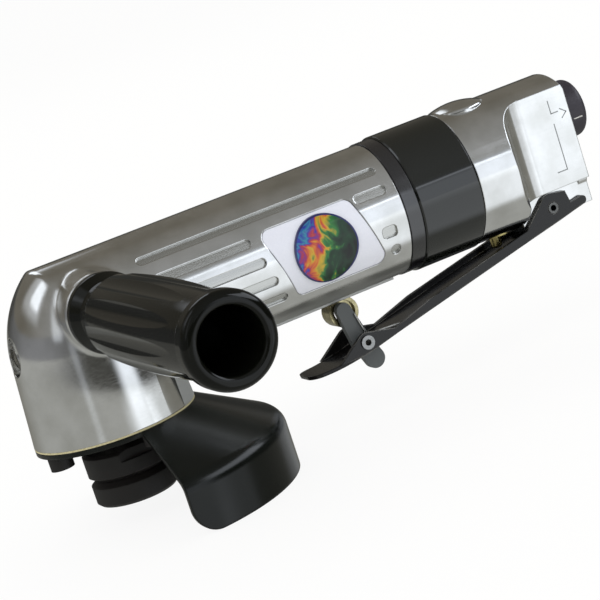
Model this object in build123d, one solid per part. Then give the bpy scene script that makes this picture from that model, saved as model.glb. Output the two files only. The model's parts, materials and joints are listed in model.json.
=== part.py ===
from build123d import *
import math
import os

# Air angle grinder, in millimetres.
# Origin: on the spindle axis, at the plane where the two wheel flanges meet.
# +X runs back along the barrel, +Z runs up the spindle, and the side handle points to -Y.

# Stack under the gear head, from the wheel's seat upwards
inner_flange_thick = 9.9
flange_gap = 5.3
guard_sheet = 1.8
gasket_thick = 0.6
rim_drop = 33.8
guard_low = inner_flange_thick + flange_gap
gasket_low = guard_low + guard_sheet
rim_z = gasket_low + gasket_thick
axis_z = rim_z + rim_drop

# Common clearances
running = 0.04
seat_gap = 0.2
press = 0.02
overrun = 2.0

# Gear head and barrel, one casting
barrel_r = 24.0
barrel_start = 2.0
neck_thread_long = 14.4
motor_bore_r = 21.0
motor_start = 32.0
head_rim_r = 28.4
head_waist_r = 26.3
head_waist_drop = 4.0
head_crown_r = 10.3
head_top_rise = 24.6
head_edge_round = 3.0
head_bore_r = 20.5
gear_room_drop = 10.5
gear_room_top_r = 10.5
gear_room_top_drop = 4.6
pinion_room_front = 4.0
pinion_room_gap = 1.4
shaft_room_gap = 4.0
keel_wide = 3.2
keel_proud = 1.0
keel_start = 34.0
keel_from_end = 2.6

# Grooves sunk along the barrel, angles measured from the top towards the handle side
groove_wide = 3.3
groove_deep = 0.8
long_groove_angle = 47.0
long_groove_start = 20.0
long_groove_from_end = 3.6
short_groove_angles = (67.0, 85.5, 103.5, 121.0)
short_groove_start = 23.0
short_groove_long = 35.5
short_groove_lean = 2.4
front_bar_angle = 66.0
front_bar_long = 12.4
pad_angle = 101.0
pad_size = (5.6, 4.2)
pad_from_end = 7.6
dot_angle = 118.6
dot_r = 1.9
dot_from_end = 6.3

# Name plate in its pocket and round badge, both bare
plate_angle = 93.9
plate_pocket = 0.7
plate_thick = 0.5
plate_gap = 0.15
plate_top_long = 34.9
plate_from_end = 18.1
plate_slant = 8.4
plate_half_high = 12.7
plate_corner_r = 3.0
badge_from_end = 31.6
badge_r = 11.8
badge_thick = 0.8

# Side handle, its boss on each side of the head and the front socket
handle_x = 1.7
handle_rise = 6.8
boss_root = 6.0
boss_face = 28.4
boss_face_r = 13.2
boss_root_r = 14.4
far_boss_face = 25.6
far_boss_face_r = 11.5
far_boss_root_r = 13.5
boss_edge_round = 0.8
handle_thread_r = 4.5
handle_hole_bottom = 15.5
stud_grip_depth = 34.0
front_socket_drop = 1.4
front_socket_bottom = 15.5
front_recess_r = 6.5
front_recess_bottom = 22.5
handle_long = 116.0
handle_flange_r = 13.5
handle_flange_thick = 4.2
handle_neck_r = 11.2
handle_neck_at = 9.0
handle_neck_end = 12.0
handle_swell_at = 22.0
handle_swell_r = 13.9
handle_belly_at = 60.0
handle_belly_r = 14.6
handle_taper_at = 104.0
handle_taper_r = 12.9
handle_end_r = 14.7
handle_end_thick = 8.4
handle_edge_round = 1.8
handle_rim_round = 3.0
handle_hole_r = 10.0
handle_hole_deep = 70.0
handle_mouth_round = 1.4
flute_count = 10
flute_r = 6.0
flute_deep = 1.3

# Grease plug on the far side of the crown
grease_angle = -25.0
grease_r = 3.0
grease_sunk = 0.4
grease_long = 4.2
grease_hex = 2.5

# Spindle and its bearings
spindle_thread_r = 4.76
free_thread = 1.8
flange_nut_thick = 8.6
thread_relief = 0.5
spindle_r = 6.0
spindle_collar_r = 8.0
spindle_collar_thick = 2.0
spindle_neck_r = 4.9
spindle_step_drop = 7.0
upper_journal_r = 4.0
upper_bearing_r = 8.0
upper_bearing_rise = 11.0
upper_bearing_wide = 5.0
lower_bearing_r = 16.0
lower_bearing_wide = 9.8
lower_bearing_drop = 32.4
cap_r = head_bore_r - running
cap_hole_r = 7.0
flange_r = 14.5
flange_chamfer = 2.4
flange_edge = 1.0
flange_flat = 13.2
flange_flat_high = 3.6
spanner_hole_r = 2.4
spanner_hole_at = 10.2
spanner_hole_deep = 4.0

# Guard screws
screw_count = 4
screw_turn = 13.0
screw_circle_r = 23.8
screw_thread_r = 2.4
screw_head_r = 4.1
screw_head_high = 4.8
screw_socket_r = 2.2
screw_socket_deep = 2.6
screw_bite = 10.0

# Wheel guard
guard_hole_r = 12.0
guard_shoulder_drop = 15.8
guard_r = 55.0
guard_shoulder_r = 6.0
guard_edge_drop = 34.2
guard_corner_r = 9.0

# Bevel gear pair
gear_teeth = 21
pinion_teeth = 13
gear_module = 1.5
gear_face = 6.0
pressure_deg = 20.0
gear_addendum = 0.80
gear_dedendum = 1.25
gear_backlash = 0.10
gear_hub_r = 10.0
gear_web = 2.6
gear_long = 20.4
pinion_long = 22.0
pinion_bore_r = 4.0
pinion_hub_r = 8.0
shaft_nose = 12.0

# Air motor
shaft_r = 5.0
rotor_r = 14.0
rotor_gap = 0.3
liner_long = 48.0
liner_bore_r = 15.9
liner_offset = 1.5
front_plate_thick = 10.0
rear_plate_thick = 10.0
front_bearing_r = 13.0
front_bearing_wide = 8.0
rear_bearing_r = 11.0
rear_bearing_wide = 7.0
rear_journal_r = 4.0
shaft_hole_gap = 0.6
vane_count = 4
vane_thick = 2.8
vane_slot_bottom = 6.5
vane_bottom_gap = 0.3
vane_side_gap = 0.1

# Exhaust ring, turning sleeve and the neck that carries them
neck_r = 19.5
ring_r = 24.4
ring_wide = 5.2
sleeve_r = 25.0
sleeve_wall = 2.4
sleeve_lip = 1.9
sleeve_edge = 0.5
sleeve_long = 23.9
sleeve_slots = 6
sleeve_slot_long = 13.0
sleeve_slot_wide = 3.6
sleeve_slot_step = 18.0
sleeve_slot_mid = 235.0
felt_gap = 0.3
neck_bore_r = 12.0
neck_ports = 8
neck_port_r = 3.0
seal_r = 0.9

# Rear valve housing
valve_body_r = 24.6
valve_body_long = 46.6
side_flat = 14.0
scoop_start = 15.4
scoop_r = 13.0
lug_half = 7.8
lug_step_drop = 14.6
lug_start = 19.3
lug_bottom_drop = 24.3
lug_proud = 1.8
body_edge_round = 1.5
valve_back = 10.6
boss_top_rise = 26.1
valve_boss_r = 10.4
valve_dome_r = 26.0
valve_boss_round = 1.2
neck_pocket_end = 2.0
valve_bore_r = 6.5
valve_upper_r = 5.5
valve_step_drop = 7.0
valve_top_rise = 13.0
valve_outlet_drop = 10.5
valve_outlet_r = 2.0
bush_top_drop = 13.0
bush_recess = 0.4
stem_r = 2.0
stem_gap = 0.25
poppet_r = 4.6
poppet_high = 3.4
seal_ring_thick = 1.4
seal_hole_r = 3.2
valve_spring_r = 3.4
valve_wire_r = 0.45
valve_spring_turns = 5
inlet_drop = 12.0
inlet_boss_r = 9.4
inlet_r = 5.55
inlet_deep = 12.0
screen_seat_r = 4.9
screen_seat_deep = 14.0
inlet_passage_r = 3.5
inlet_passage_deep = 20.0
screen_thick = 0.8
cross_passage_r = 3.0
cross_passage_in = 17.5

# Air regulator
regulator_rise = 9.0
regulator_bore_r = 5.0
regulator_deep = 22.0
regulator_passage_r = 3.0
knob_r = 10.6
knob_long = 9.0
knob_round = 2.6
knob_socket_deep = 5.0
spool_tail = 1.0
spool_ring_in = 4.0
spool_ring_r = 0.8

# Throttle lever, drawn flat and then tilted about its pin
lever_pin_back = 31.6
lever_pin_drop = 21.3
lever_tilt = 11.8
lever_half = 9.5
lever_sheet = 1.4
lever_under = 5.2
lever_wall = 3.5
lever_pin_r = 2.0
lever_pin_bore = 1.1
lever_ear_r = 5.3
lever_ear_back = 7.1
lever_ear_back_top = 3.0
lever_heel_long = 13.2
lever_heel_top = 2.0
lever_heel_r = 1.6
lever_web_start = 6.0
lever_wall_start = 13.2
lever_wall_fall = 58.0
lever_wall_dip = 74.0
lever_dip_high = 2.0
lever_tip_start = 88.0
lever_tip_mid = 98.6
lever_tip_mid_rise = 0.4
lever_tip = 109.2
lever_tip_rise = 2.3
lever_tip_r = 6.6
lever_tip_round = 5.2

# Lock tab on the lever, its pin and spring
tab_pin_at = 85.7
tab_pin_over = 3.4
tab_ear_r = 3.6
tab_pin_r = 1.5
tab_pin_head_r = 2.5
tab_pin_head = 0.7
tab_pin_bore = 1.1
tab_near = -4.6
tab_thick = 2.6
tab_arm = 15.6
tab_arm_lean = 13.0
tab_arm_r = 2.8
tab_tongue = 11.6
tab_tongue_lean = 22.0
tab_tongue_r = 3.6
tab_slot_front = 8.0
tab_slot_back = 13.5
tab_slot_side = 0.7
lock_wire_r = 0.35
lock_coil_r = 2.5
lock_turns = 2
lock_rest = 1.5
lock_rest_gap = 0.1
lock_arm_leg = 10.0

# Hanger eye under the barrel
eye_from_end = 24.0
eye_drop = 29.2
eye_r = 5.5
eye_near = -1.2
eye_wide = 7.5
eye_bore_r = 3.3
eye_recess_r = 4.2
eye_recess_deep = 1.4
eye_shank_r = 2.5
eye_shank_top = 21.3

# Derived places
neck_start = motor_start + front_plate_thick + liner_long + rear_plate_thick + seat_gap
barrel_end = neck_start + neck_thread_long
eye_x = barrel_end - eye_from_end
ring_start = barrel_end + seat_gap / 2
ring_end = ring_start + ring_wide
sleeve_start = ring_end + seat_gap
sleeve_end = sleeve_start + sleeve_long
body_start = sleeve_end + seat_gap
body_end = body_start + valve_body_long
valve_x = body_start + valve_back
lever_pin_x = body_start + lever_pin_back
lever_pin_z = axis_z - lever_pin_drop
handle_z = axis_z + handle_rise
regulator_z = axis_z + regulator_rise
inlet_x = body_end + lug_proud
inlet_z = axis_z - inlet_drop
tab_far = tab_near + tab_thick
standing = (Align.CENTER, Align.CENTER, Align.MIN)


def rod(radius, start, end):
    """Round bar from one point to another."""
    first, last = Vector(*start), Vector(*end)
    along = last - first
    return Plane(first, z_dir=along) * Cylinder(radius, along.length, align=standing)


def cone(radius, end_radius, start, end):
    """Tapered round bar from one point to another."""
    first, last = Vector(*start), Vector(*end)
    along = last - first
    return Plane(first, z_dir=along) * Cone(radius, end_radius, along.length, align=standing)


def rod_x(radius, start, end, y=0.0, z=axis_z):
    """Round bar along X."""
    return rod(radius, (start, y, z), (end, y, z))


def rod_y(radius, start, end, x, z):
    """Round bar along Y."""
    return rod(radius, (x, start, z), (x, end, z))


def rod_z(radius, start, end, x=0.0, y=0.0):
    """Round bar along Z."""
    return rod(radius, (x, y, start), (x, y, end))


def block(low, high):
    """Box between two corners."""
    size = [b - a for a, b in zip(low, high)]
    middle = [(a + b) / 2 for a, b in zip(low, high)]
    return Pos(*middle) * Box(*size)


def turned_z(points, arc=360.0, turn=0.0):
    """Solid of revolution about the spindle axis from (radius, z) corners."""
    face = Plane.XZ * make_face(Polyline(*points, close=True))
    return Rot(0, 0, turn) * revolve(face, Axis.Z, arc)


def turned_x(points, z=axis_z):
    """Solid of revolution about an axis along X from (x, radius) corners."""
    face = Plane.XZ * make_face(Polyline(*points, close=True))
    return Pos(0, 0, z) * revolve(face, Axis.X, 360.0)


def wheel_of(shape, count, axis, step=None):
    """Copies of a shape spaced round an axis."""
    step = 360.0 / count if step is None else step
    return [shape.rotate(axis, step * index) for index in range(count)]


def bearing(outer, inner, low, wide, turn):
    """Shielded ball bearing: outer ring with its shields, and inner race."""
    high = low + wide
    wall = (outer - inner) / 3
    shield = wide * 0.09
    lip = inner + wall + seat_gap
    ring = [(outer, low), (lip, low), (lip, low + shield), (outer - wall, low + shield),
            (outer - wall, high - shield), (lip, high - shield), (lip, high), (outer, high)]
    race = [(inner, low), (inner + wall, low), (inner + wall, high), (inner, high)]
    return turn(ring), turn(race)


def turn_z(points):
    """Revolve (radius, drop) corners about the spindle."""
    return turned_z([(radius, axis_z + rise) for radius, rise in points])


def turn_x(points):
    """Revolve (radius, x) corners about the barrel axis."""
    return turned_x([(x, radius) for radius, x in points])


def barrel_plane(x, angle):
    """Plane on the barrel axis that faces out at an angle from the top, with +X along the barrel."""
    lean = math.radians(angle)
    return Plane((x, 0, axis_z), x_dir=(1, 0, 0), z_dir=(0, -math.sin(lean), math.cos(lean)))


def barrel_patch(sketch, x, angle, inner, outer):
    """Sketch wrapped on the barrel as a patch between two radii."""
    prism = extrude(barrel_plane(x, angle) * sketch, outer + overrun)
    shell = rod_x(outer, 0, barrel_end) - rod_x(inner, 0, barrel_end)
    return prism & shell


def biarc(start, start_way, end, end_way):
    """Two arcs that join two points and keep the direction at each."""
    gap = end - start
    both = start_way + end_way
    turn = 2 * (1 - start_way.dot(end_way))
    reach = gap.dot(both)
    step = (math.sqrt(reach * reach + turn * gap.dot(gap)) - reach) / turn
    first = start + start_way * step
    second = end - end_way * step
    middle = (first + second) * 0.5
    return [Edge.make_tangent_arc(start, start_way, middle),
            Edge.make_tangent_arc(middle, second - first, end)]


def coil(centre, radius, rise, first_turn, last_turn, frame):
    """Biarcs of at most a quarter turn along a helix whose ends leave level.

    frame holds the directions along the axis, at turn zero, and a quarter turn on.
    Returns the edges and the (point, direction) at each end.
    """
    along, across, side = frame
    count = math.ceil((last_turn - first_turn) / 90.0)
    slope = rise / math.radians(last_turn - first_turn)

    def station(index):
        turn = math.radians(first_turn + (last_turn - first_turn) * index / count)
        place = (centre + across * (radius * math.cos(turn)) + side * (radius * math.sin(turn))
                 + along * (rise * index / count))
        climb = 0.0 if index in (0, count) else slope
        way = across * (-radius * math.sin(turn)) + side * (radius * math.cos(turn)) + along * climb
        return place, way.normalized()

    stations = [station(index) for index in range(count + 1)]
    edges = []
    for (start, start_way), (end, end_way) in zip(stations, stations[1:]):
        edges += biarc(start, start_way, end, end_way)
    return edges, stations[0], stations[-1]


def wire_form(edges, radius):
    """One unbroken round wire along a chain of edges."""
    path = Wire(edges)
    start = Plane(edges[0] @ 0, z_dir=edges[0] % 0)
    return sweep(start * Circle(radius), path=path)


def print_gap(name, edges, radius, turn_length):
    """Print the least gap of a wire to itself, measured on points along it."""
    samples = [edge @ (step / 6) for edge in edges for step in range(6)]
    reach = [0.0]
    for first, second in zip(samples, samples[1:]):
        reach.append(reach[-1] + (second - first).length)
    least = min((b - a).length for i, a in enumerate(samples) for j, b in enumerate(samples)
                if reach[j] - reach[i] > turn_length / 2)
    print(f"{name}: least gap to itself {least - 2 * radius:.2f} mm")


# Straight bevel teeth on spherical involutes, so that the pair rolls without cutting into itself
cone_distance = gear_module * math.hypot(gear_teeth, pinion_teeth) / 2
inner_distance = cone_distance - gear_face


def involute_turn(polar, base):
    """Azimuth of a spherical involute at a polar angle, from its start on the base cone."""
    if polar <= base:
        return 0.0
    return (math.acos(math.cos(polar) / math.cos(base)) / math.sin(base)
            - math.acos(math.tan(base) / math.tan(polar)))


def bevel_outline(teeth, mate_teeth, height):
    """Section of a bevel wheel's teeth at a height from the apex, with its first space on +X."""
    pitch = math.atan2(teeth, mate_teeth)
    base = math.asin(math.cos(math.radians(pressure_deg)) * math.sin(pitch))
    tip = pitch + math.atan(gear_addendum * gear_module / cone_distance)
    root = pitch - math.atan(gear_dedendum * gear_module / cone_distance)
    thin = gear_backlash / (cone_distance * math.sin(pitch)) / 2
    half = math.pi / (2 * teeth) - thin
    foot = max(base, root)
    steps = 4
    polars = [root] + [foot + (tip - foot) * step / steps for step in range(steps + 1)]
    flank = [(polar, half + involute_turn(pitch, base) - involute_turn(polar, base)) for polar in polars]
    points = []
    for tooth in range(teeth):
        middle = 2 * math.pi * (tooth + 0.5) / teeth
        for polar, turn in flank:
            points.append((polar, middle - turn))
        for polar, turn in reversed(flank):
            points.append((polar, middle + turn))
    return [(height * math.tan(polar) * math.cos(turn), height * math.tan(polar) * math.sin(turn))
            for polar, turn in points]


def bevel_wheel(teeth, mate_teeth, body):
    """Toothed cone about +Z from the apex, cut to a body given by (radius, height) corners."""
    heights = [height for _, height in body]
    low, high = min(heights) * 0.8, max(heights) * 1.02
    ends = [Pos(0, 0, height) * make_face(Polyline(*bevel_outline(teeth, mate_teeth, height), close=True))
            for height in (low, high)]
    toothed = loft(ends, ruled=True)
    return toothed & turned_z(body)


def tooth_corner(teeth, mate_teeth, distance, out):
    """(radius, height) of a point on a tooth's end, out from the pitch cone."""
    pitch = math.atan2(teeth, mate_teeth)
    share = distance / cone_distance
    return (distance * math.sin(pitch) + out * share * math.cos(pitch),
            distance * math.cos(pitch) - out * share * math.sin(pitch))


def make_bevel_gear():
    """Large bevel wheel, teeth up, below the barrel axis."""
    tip, root = gear_addendum * gear_module, gear_dedendum * gear_module
    tooth = [tooth_corner(gear_teeth, pinion_teeth, distance, out) for distance, out in
             ((inner_distance, -root), (inner_distance, tip), (cone_distance, tip), (cone_distance, -root))]
    front = tooth[0][1]
    back = tooth[3][1]
    crown = [(0, front)] + tooth + [(0, back)]
    web_r = tooth[3][0]
    bore = spindle_r + press
    wheel = bevel_wheel(gear_teeth, pinion_teeth, crown)
    wheel += rod_z(web_r, back, back + gear_web)
    wheel += rod_z(gear_hub_r, back + gear_web, gear_long)
    wheel -= rod_z(bore, 0, gear_long + overrun)
    return Pos(0, 0, axis_z) * Rot(180, 0, 0) * wheel


def make_bevel_pinion():
    """Small bevel wheel on the rotor shaft, its lowest tooth in the gear's first space."""
    tip, root = gear_addendum * gear_module, gear_dedendum * gear_module
    tooth = [tooth_corner(pinion_teeth, gear_teeth, distance, out) for distance, out in
             ((inner_distance, -root), (inner_distance, tip), (cone_distance, tip), (cone_distance, -root))]
    body = [(0, tooth[0][1])] + tooth + [(0, tooth[3][1])]
    wheel = bevel_wheel(pinion_teeth, gear_teeth, body)
    wheel += rod_z(pinion_hub_r, tooth[3][1], pinion_long)
    wheel -= rod_z(pinion_bore_r + press, 0, pinion_long + overrun)
    half_tooth = 180.0 / pinion_teeth
    return Pos(0, 0, axis_z) * Rot(0, 90, 0) * Rot(0, 0, half_tooth) * wheel


def head_form():
    """Outside of the gear head: a wall turned about the spindle, under the barrel's roof carried forward."""
    foot, waist = (head_rim_r, rim_z), (head_waist_r, axis_z - head_waist_drop)
    crown, top, low = (head_crown_r, axis_z + head_top_rise), (0, axis_z + head_top_rise), (0, rim_z)
    lean = TangentArc(waist, crown, tangent=(waist[0] - foot[0], waist[1] - foot[1]))
    section = make_face([Line(low, foot), Line(foot, waist), lean, Line(crown, top), Line(top, low)])
    reach = head_rim_r + overrun
    roof = rod_x(barrel_r, -reach, reach) + block((-reach, -reach, low[1] - overrun), (reach, reach, axis_z))
    head = revolve(Plane.XZ * section, Axis.Z, 360.0) & roof
    front = head.edges().sort_by_distance((-head_crown_r, 0, axis_z + barrel_r))[0]
    return fillet(front, head_edge_round)


def barrel_grooves():
    """Cutters for the grooves and pads sunk in the barrel."""
    outer, inner = barrel_r + overrun, barrel_r - groove_deep

    def bar(start, end, angle):
        return barrel_patch(SlotOverall(end - start, groove_wide), (start + end) / 2, angle, inner, outer)

    long_end = barrel_end - long_groove_from_end
    cutters = [bar(long_groove_start, long_end, angle) for angle in (long_groove_angle, -long_groove_angle)]
    for index, angle in enumerate(short_groove_angles):
        end = short_groove_start + short_groove_long + short_groove_lean * index
        cutters.append(bar(short_groove_start, end, angle))
        cutters.append(bar(short_groove_start, long_end, -angle))
    cutters.append(bar(long_end - front_bar_long, long_end, front_bar_angle))
    pad = RectangleRounded(*pad_size, pad_size[1] / 3)
    cutters.append(barrel_patch(pad, barrel_end - pad_from_end, pad_angle, inner, outer))
    cutters.append(barrel_patch(Circle(dot_r), barrel_end - dot_from_end, dot_angle, inner, outer))
    return cutters


def plate_patch(grow, inner, outer):
    """Name plate's outline with slanted ends, wrapped on the barrel."""
    end = barrel_end - plate_from_end
    start = end - plate_top_long
    middle = (start + end + plate_slant) / 2
    corners = [(start, plate_half_high), (end, plate_half_high),
               (end + plate_slant, -plate_half_high), (start + plate_slant, -plate_half_high)]
    face = make_face(Polyline(*[(x - middle, y) for x, y in corners], close=True))
    face = fillet(face.vertices(), plate_corner_r)
    return barrel_patch(offset(face, grow) if grow else face, middle, plate_angle, inner, outer)


def make_keel():
    """Flat strip along the bottom of the barrel."""
    return block((keel_start, -keel_wide / 2, axis_z - barrel_r - keel_proud),
                 (barrel_end - keel_from_end, keel_wide / 2, axis_z - barrel_r + keel_proud))


def screw_places():
    """Centres of the guard screws."""
    turns = [math.radians(screw_turn + 360.0 * index / screw_count) for index in range(screw_count)]
    return [(screw_circle_r * math.cos(turn), screw_circle_r * math.sin(turn)) for turn in turns]


def handle_boss(side, root_r, face_r, face):
    """Boss for the handle's thread, with a rounded rim."""
    boss = cone(root_r, face_r, (handle_x, side * boss_root, handle_z), (handle_x, side * face, handle_z))
    rim = boss.edges().filter_by(GeomType.CIRCLE).sort_by(lambda edge: edge.radius)[0]
    return fillet(rim, boss_edge_round)


def make_main_housing():
    """Gear head and motor barrel in one casting."""
    shape = head_form() + rod_x(barrel_r, barrel_start, barrel_end)
    shape += handle_boss(-1, boss_root_r, boss_face_r, boss_face)
    shape += handle_boss(1, far_boss_root_r, far_boss_face_r, far_boss_face)
    shape += make_keel()
    shape -= barrel_grooves()
    shape -= plate_patch(plate_gap, barrel_r - plate_pocket, barrel_r + overrun)
    gear_room = [(0, rim_z - overrun), (head_bore_r, rim_z - overrun), (head_bore_r, axis_z - gear_room_drop),
                 (gear_room_top_r, axis_z - gear_room_top_drop), (0, axis_z - gear_room_top_drop)]
    pinion_tip_r = tooth_corner(pinion_teeth, gear_teeth, cone_distance, gear_addendum * gear_module)[0]
    shape -= turned_z(gear_room)
    shape -= rod_z(upper_bearing_r, axis_z - gear_room_drop,
                   axis_z + upper_bearing_rise + upper_bearing_wide + seat_gap)
    shape -= rod_x(pinion_tip_r + pinion_room_gap, pinion_room_front, pinion_long + overrun)
    shape -= rod_x(shaft_r + shaft_room_gap, pinion_long, motor_start + overrun)
    shape -= rod_x(motor_bore_r, motor_start, barrel_end + overrun)
    shape -= rod(grease_r, grease_point(grease_sunk + grease_long + seat_gap), grease_point(-overrun))
    shape -= rod_y(handle_thread_r + running, -boss_face - overrun, -handle_hole_bottom, handle_x, handle_z)
    shape -= rod_y(handle_thread_r + running, handle_hole_bottom, far_boss_face + overrun, handle_x, handle_z)
    socket_z = axis_z - front_socket_drop
    shape -= rod_x(handle_thread_r + running, -head_rim_r - overrun, -front_socket_bottom, 0, socket_z)
    shape -= rod_x(front_recess_r, -head_rim_r - overrun, -front_recess_bottom, 0, socket_z)
    for x, y in screw_places():
        shape -= rod_z(screw_thread_r, rim_z - overrun, rim_z + screw_bite + seat_gap, x, y)
    shape -= rod_z(eye_shank_r, axis_z - barrel_r - overrun, axis_z - eye_shank_top + overrun,
                   eye_x, eye_near + eye_wide / 2)
    return shape


def grease_point(depth):
    """Point on the grease plug's axis at a depth under the head's roof."""
    lean = math.radians(grease_angle)
    reach = barrel_r - depth
    return (0, -reach * math.sin(lean), axis_z + reach * math.cos(lean))


def make_grease_plug():
    """Set screw that closes the grease hole in the crown."""
    top, bottom = grease_point(grease_sunk), grease_point(grease_sunk + grease_long)
    plane = Plane(grease_point(grease_sunk + grease_hex), z_dir=Vector(*top) - Vector(*bottom))
    return rod(grease_r - press, bottom, top) - extrude(plane * RegularPolygon(grease_hex / 2, 6), grease_hex)


def make_label_plate():
    """Bare name plate with slanted ends, in its pocket on the barrel."""
    low = barrel_r - plate_pocket
    return plate_patch(0, low, low + plate_thick)


def make_badge_disc():
    """Bare round badge on the name plate."""
    low = barrel_r - plate_pocket + plate_thick
    return barrel_patch(Circle(badge_r), barrel_end - badge_from_end, plate_angle, low, low + badge_thick)


def make_bearing_cap():
    """Cup in the head's mouth that holds the lower bearing."""
    top = axis_z - lower_bearing_drop + lower_bearing_wide
    floor = axis_z - lower_bearing_drop
    return turned_z([(cap_hole_r, rim_z), (cap_r, rim_z), (cap_r, top), (lower_bearing_r, top),
                     (lower_bearing_r, floor), (cap_hole_r, floor)])


def make_gasket():
    """Flat ring between the head's rim and the guard."""
    ring = rod_z(head_rim_r, gasket_low, rim_z)
    ring -= rod_z(head_bore_r, gasket_low - overrun, rim_z + overrun)
    for x, y in screw_places():
        ring -= rod_z(screw_thread_r, gasket_low - overrun, rim_z + overrun, x, y)
    return ring


def guard_section():
    """Cross section of the guard's sheet: flange, cone, bend and skirt."""
    top = gasket_low
    corner_z = rim_z - guard_shoulder_drop
    edge_z = rim_z - guard_edge_drop
    slope = math.atan2(top - corner_z, guard_r - head_rim_r)
    inner_r = guard_r - guard_sheet
    inner_corner_z = corner_z + guard_sheet * math.tan(slope) - guard_sheet / math.cos(slope)
    corners = [(guard_hole_r, top), (head_rim_r, top), (guard_r, corner_z), (guard_r, edge_z),
               (inner_r, edge_z), (inner_r, inner_corner_z), (head_rim_r, guard_low),
               (guard_hole_r, guard_low)]
    face = make_face(Polyline(*corners, close=True))
    for corner, radius in ((corners[2], guard_shoulder_r), (corners[5], guard_shoulder_r - guard_sheet)):
        vertex = face.vertices().sort_by_distance((*corner, 0))[0]
        face = fillet(vertex, radius)
    return Plane.XZ * face


def make_wheel_guard():
    """Pressed guard: full mounting ring, and a half cup towards the rear."""
    top = gasket_low
    edge_z = rim_z - guard_edge_drop
    cup = Rot(0, 0, -90) * revolve(guard_section(), Axis.Z, 180.0)
    shape = cup + rod_z(head_rim_r, guard_low, top) - rod_z(guard_hole_r, guard_low - overrun, top + overrun)
    for x, y in screw_places():
        shape -= rod_z(screw_thread_r, guard_low - overrun, top + overrun, x, y)
    for side in (-1, 1):
        near, far = sorted((side * (guard_r - 2 * guard_corner_r), side * (guard_r + overrun)))
        corner = block((-overrun, near, edge_z - overrun), (guard_corner_r, far, edge_z + guard_corner_r))
        corner -= rod_y(guard_corner_r, near, far, guard_corner_r, edge_z + guard_corner_r)
        shape -= corner
    return shape


def make_guard_screws():
    """Socket-head screws that hold the guard, gasket and cap to the head."""
    screws = []
    for x, y in screw_places():
        screw = rod_z(screw_thread_r - press, guard_low, rim_z + screw_bite, x, y)
        screw += rod_z(screw_head_r, guard_low - screw_head_high, guard_low, x, y)
        socket = Pos(x, y, guard_low - screw_head_high) * RegularPolygon(screw_socket_r, 6)
        screws.append(screw - extrude(socket, screw_socket_deep))
    return Compound(children=screws)


def make_spindle():
    """Stepped spindle from the top journal down to the free thread."""
    collar_low = axis_z - gear_long - spindle_collar_thick
    journal = axis_z + upper_bearing_rise
    end = -flange_nut_thick - free_thread
    relief_r = spindle_thread_r - thread_relief
    relief_low = -flange_nut_thick
    relief_high = relief_low + 2 * thread_relief
    steps = [(0, journal + upper_bearing_wide), (upper_journal_r, journal + upper_bearing_wide),
             (upper_journal_r, journal), (spindle_neck_r, journal),
             (spindle_neck_r, axis_z - spindle_step_drop),
             (spindle_r, axis_z - spindle_step_drop), (spindle_r, collar_low + spindle_collar_thick),
             (spindle_collar_r, collar_low + spindle_collar_thick), (spindle_collar_r, collar_low),
             (spindle_r, collar_low), (spindle_r, inner_flange_thick), (spindle_thread_r, inner_flange_thick),
             (spindle_thread_r, relief_high), (relief_r, relief_high), (relief_r, relief_low),
             (spindle_thread_r, relief_low), (spindle_thread_r, end), (0, end)]
    return turned_z(steps)


def make_inner_flange():
    """Backing flange with two spanner flats above its rim."""
    bore = spindle_thread_r + running
    rim_low = inner_flange_thick - flange_flat_high
    disc = turned_z([(bore, 0), (flange_r - flange_chamfer, 0), (flange_r, flange_chamfer * 0.7),
                     (flange_r, inner_flange_thick - flange_edge),
                     (flange_r - flange_edge, inner_flange_thick), (bore, inner_flange_thick)])
    for side in (-1, 1):
        low, high = sorted((side * flange_flat, side * (flange_r + overrun)))
        disc -= block((-flange_r, low, rim_low), (flange_r, high, inner_flange_thick + overrun))
    return disc


def make_flange_nut():
    """Clamping nut with two spanner holes in its lower face."""
    bore = spindle_thread_r + running
    low = -flange_nut_thick
    nut = turned_z([(bore, 0), (flange_r - flange_chamfer, 0), (flange_r, -flange_chamfer * 0.7),
                    (flange_r, low + flange_edge), (flange_r - flange_edge, low), (bore, low)])
    for side in (-1, 1):
        nut -= rod_z(spanner_hole_r, low - overrun, low + spanner_hole_deep, 0, side * spanner_hole_at)
    return nut


def make_rotor():
    """Slotted rotor with its front and rear shafts."""
    start = motor_start + front_plate_thick + rotor_gap
    end = motor_start + front_plate_thick + liner_long - rotor_gap
    shape = rod_x(rotor_r, start, end)
    shape += rod_x(shaft_r, pinion_long, start)
    shape += rod_x(pinion_bore_r, pinion_long - shaft_nose, pinion_long)
    shape += rod_x(rear_journal_r, end, neck_start - seat_gap)
    slot = block((start - overrun, -vane_thick / 2 - vane_side_gap, axis_z + vane_slot_bottom),
                 (end + overrun, vane_thick / 2 + vane_side_gap, axis_z + rotor_r + overrun))
    middle = Axis((0, 0, axis_z), (1, 0, 0))
    slots = wheel_of(slot, vane_count, middle)
    shafts = rod_x(shaft_r, pinion_long, end) + rod_x(rear_journal_r, start, neck_start - seat_gap)
    return (shape - slots) + shafts


def make_vanes():
    """Vanes resting in the rotor's slots."""
    start = motor_start + front_plate_thick + rotor_gap
    end = motor_start + front_plate_thick + liner_long - rotor_gap
    vane = block((start, -vane_thick / 2, axis_z + vane_slot_bottom + vane_bottom_gap),
                 (end, vane_thick / 2, axis_z + rotor_r - vane_side_gap))
    return Compound(children=wheel_of(vane, vane_count, Axis((0, 0, axis_z), (1, 0, 0))))


def make_liner():
    """Cylinder that the rotor runs in, bored off centre."""
    start = motor_start + front_plate_thick
    end = start + liner_long
    shape = rod_x(motor_bore_r - running, start, end)
    return shape - rod_x(liner_bore_r, start - overrun, end + overrun, 0, axis_z - liner_offset)


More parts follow.
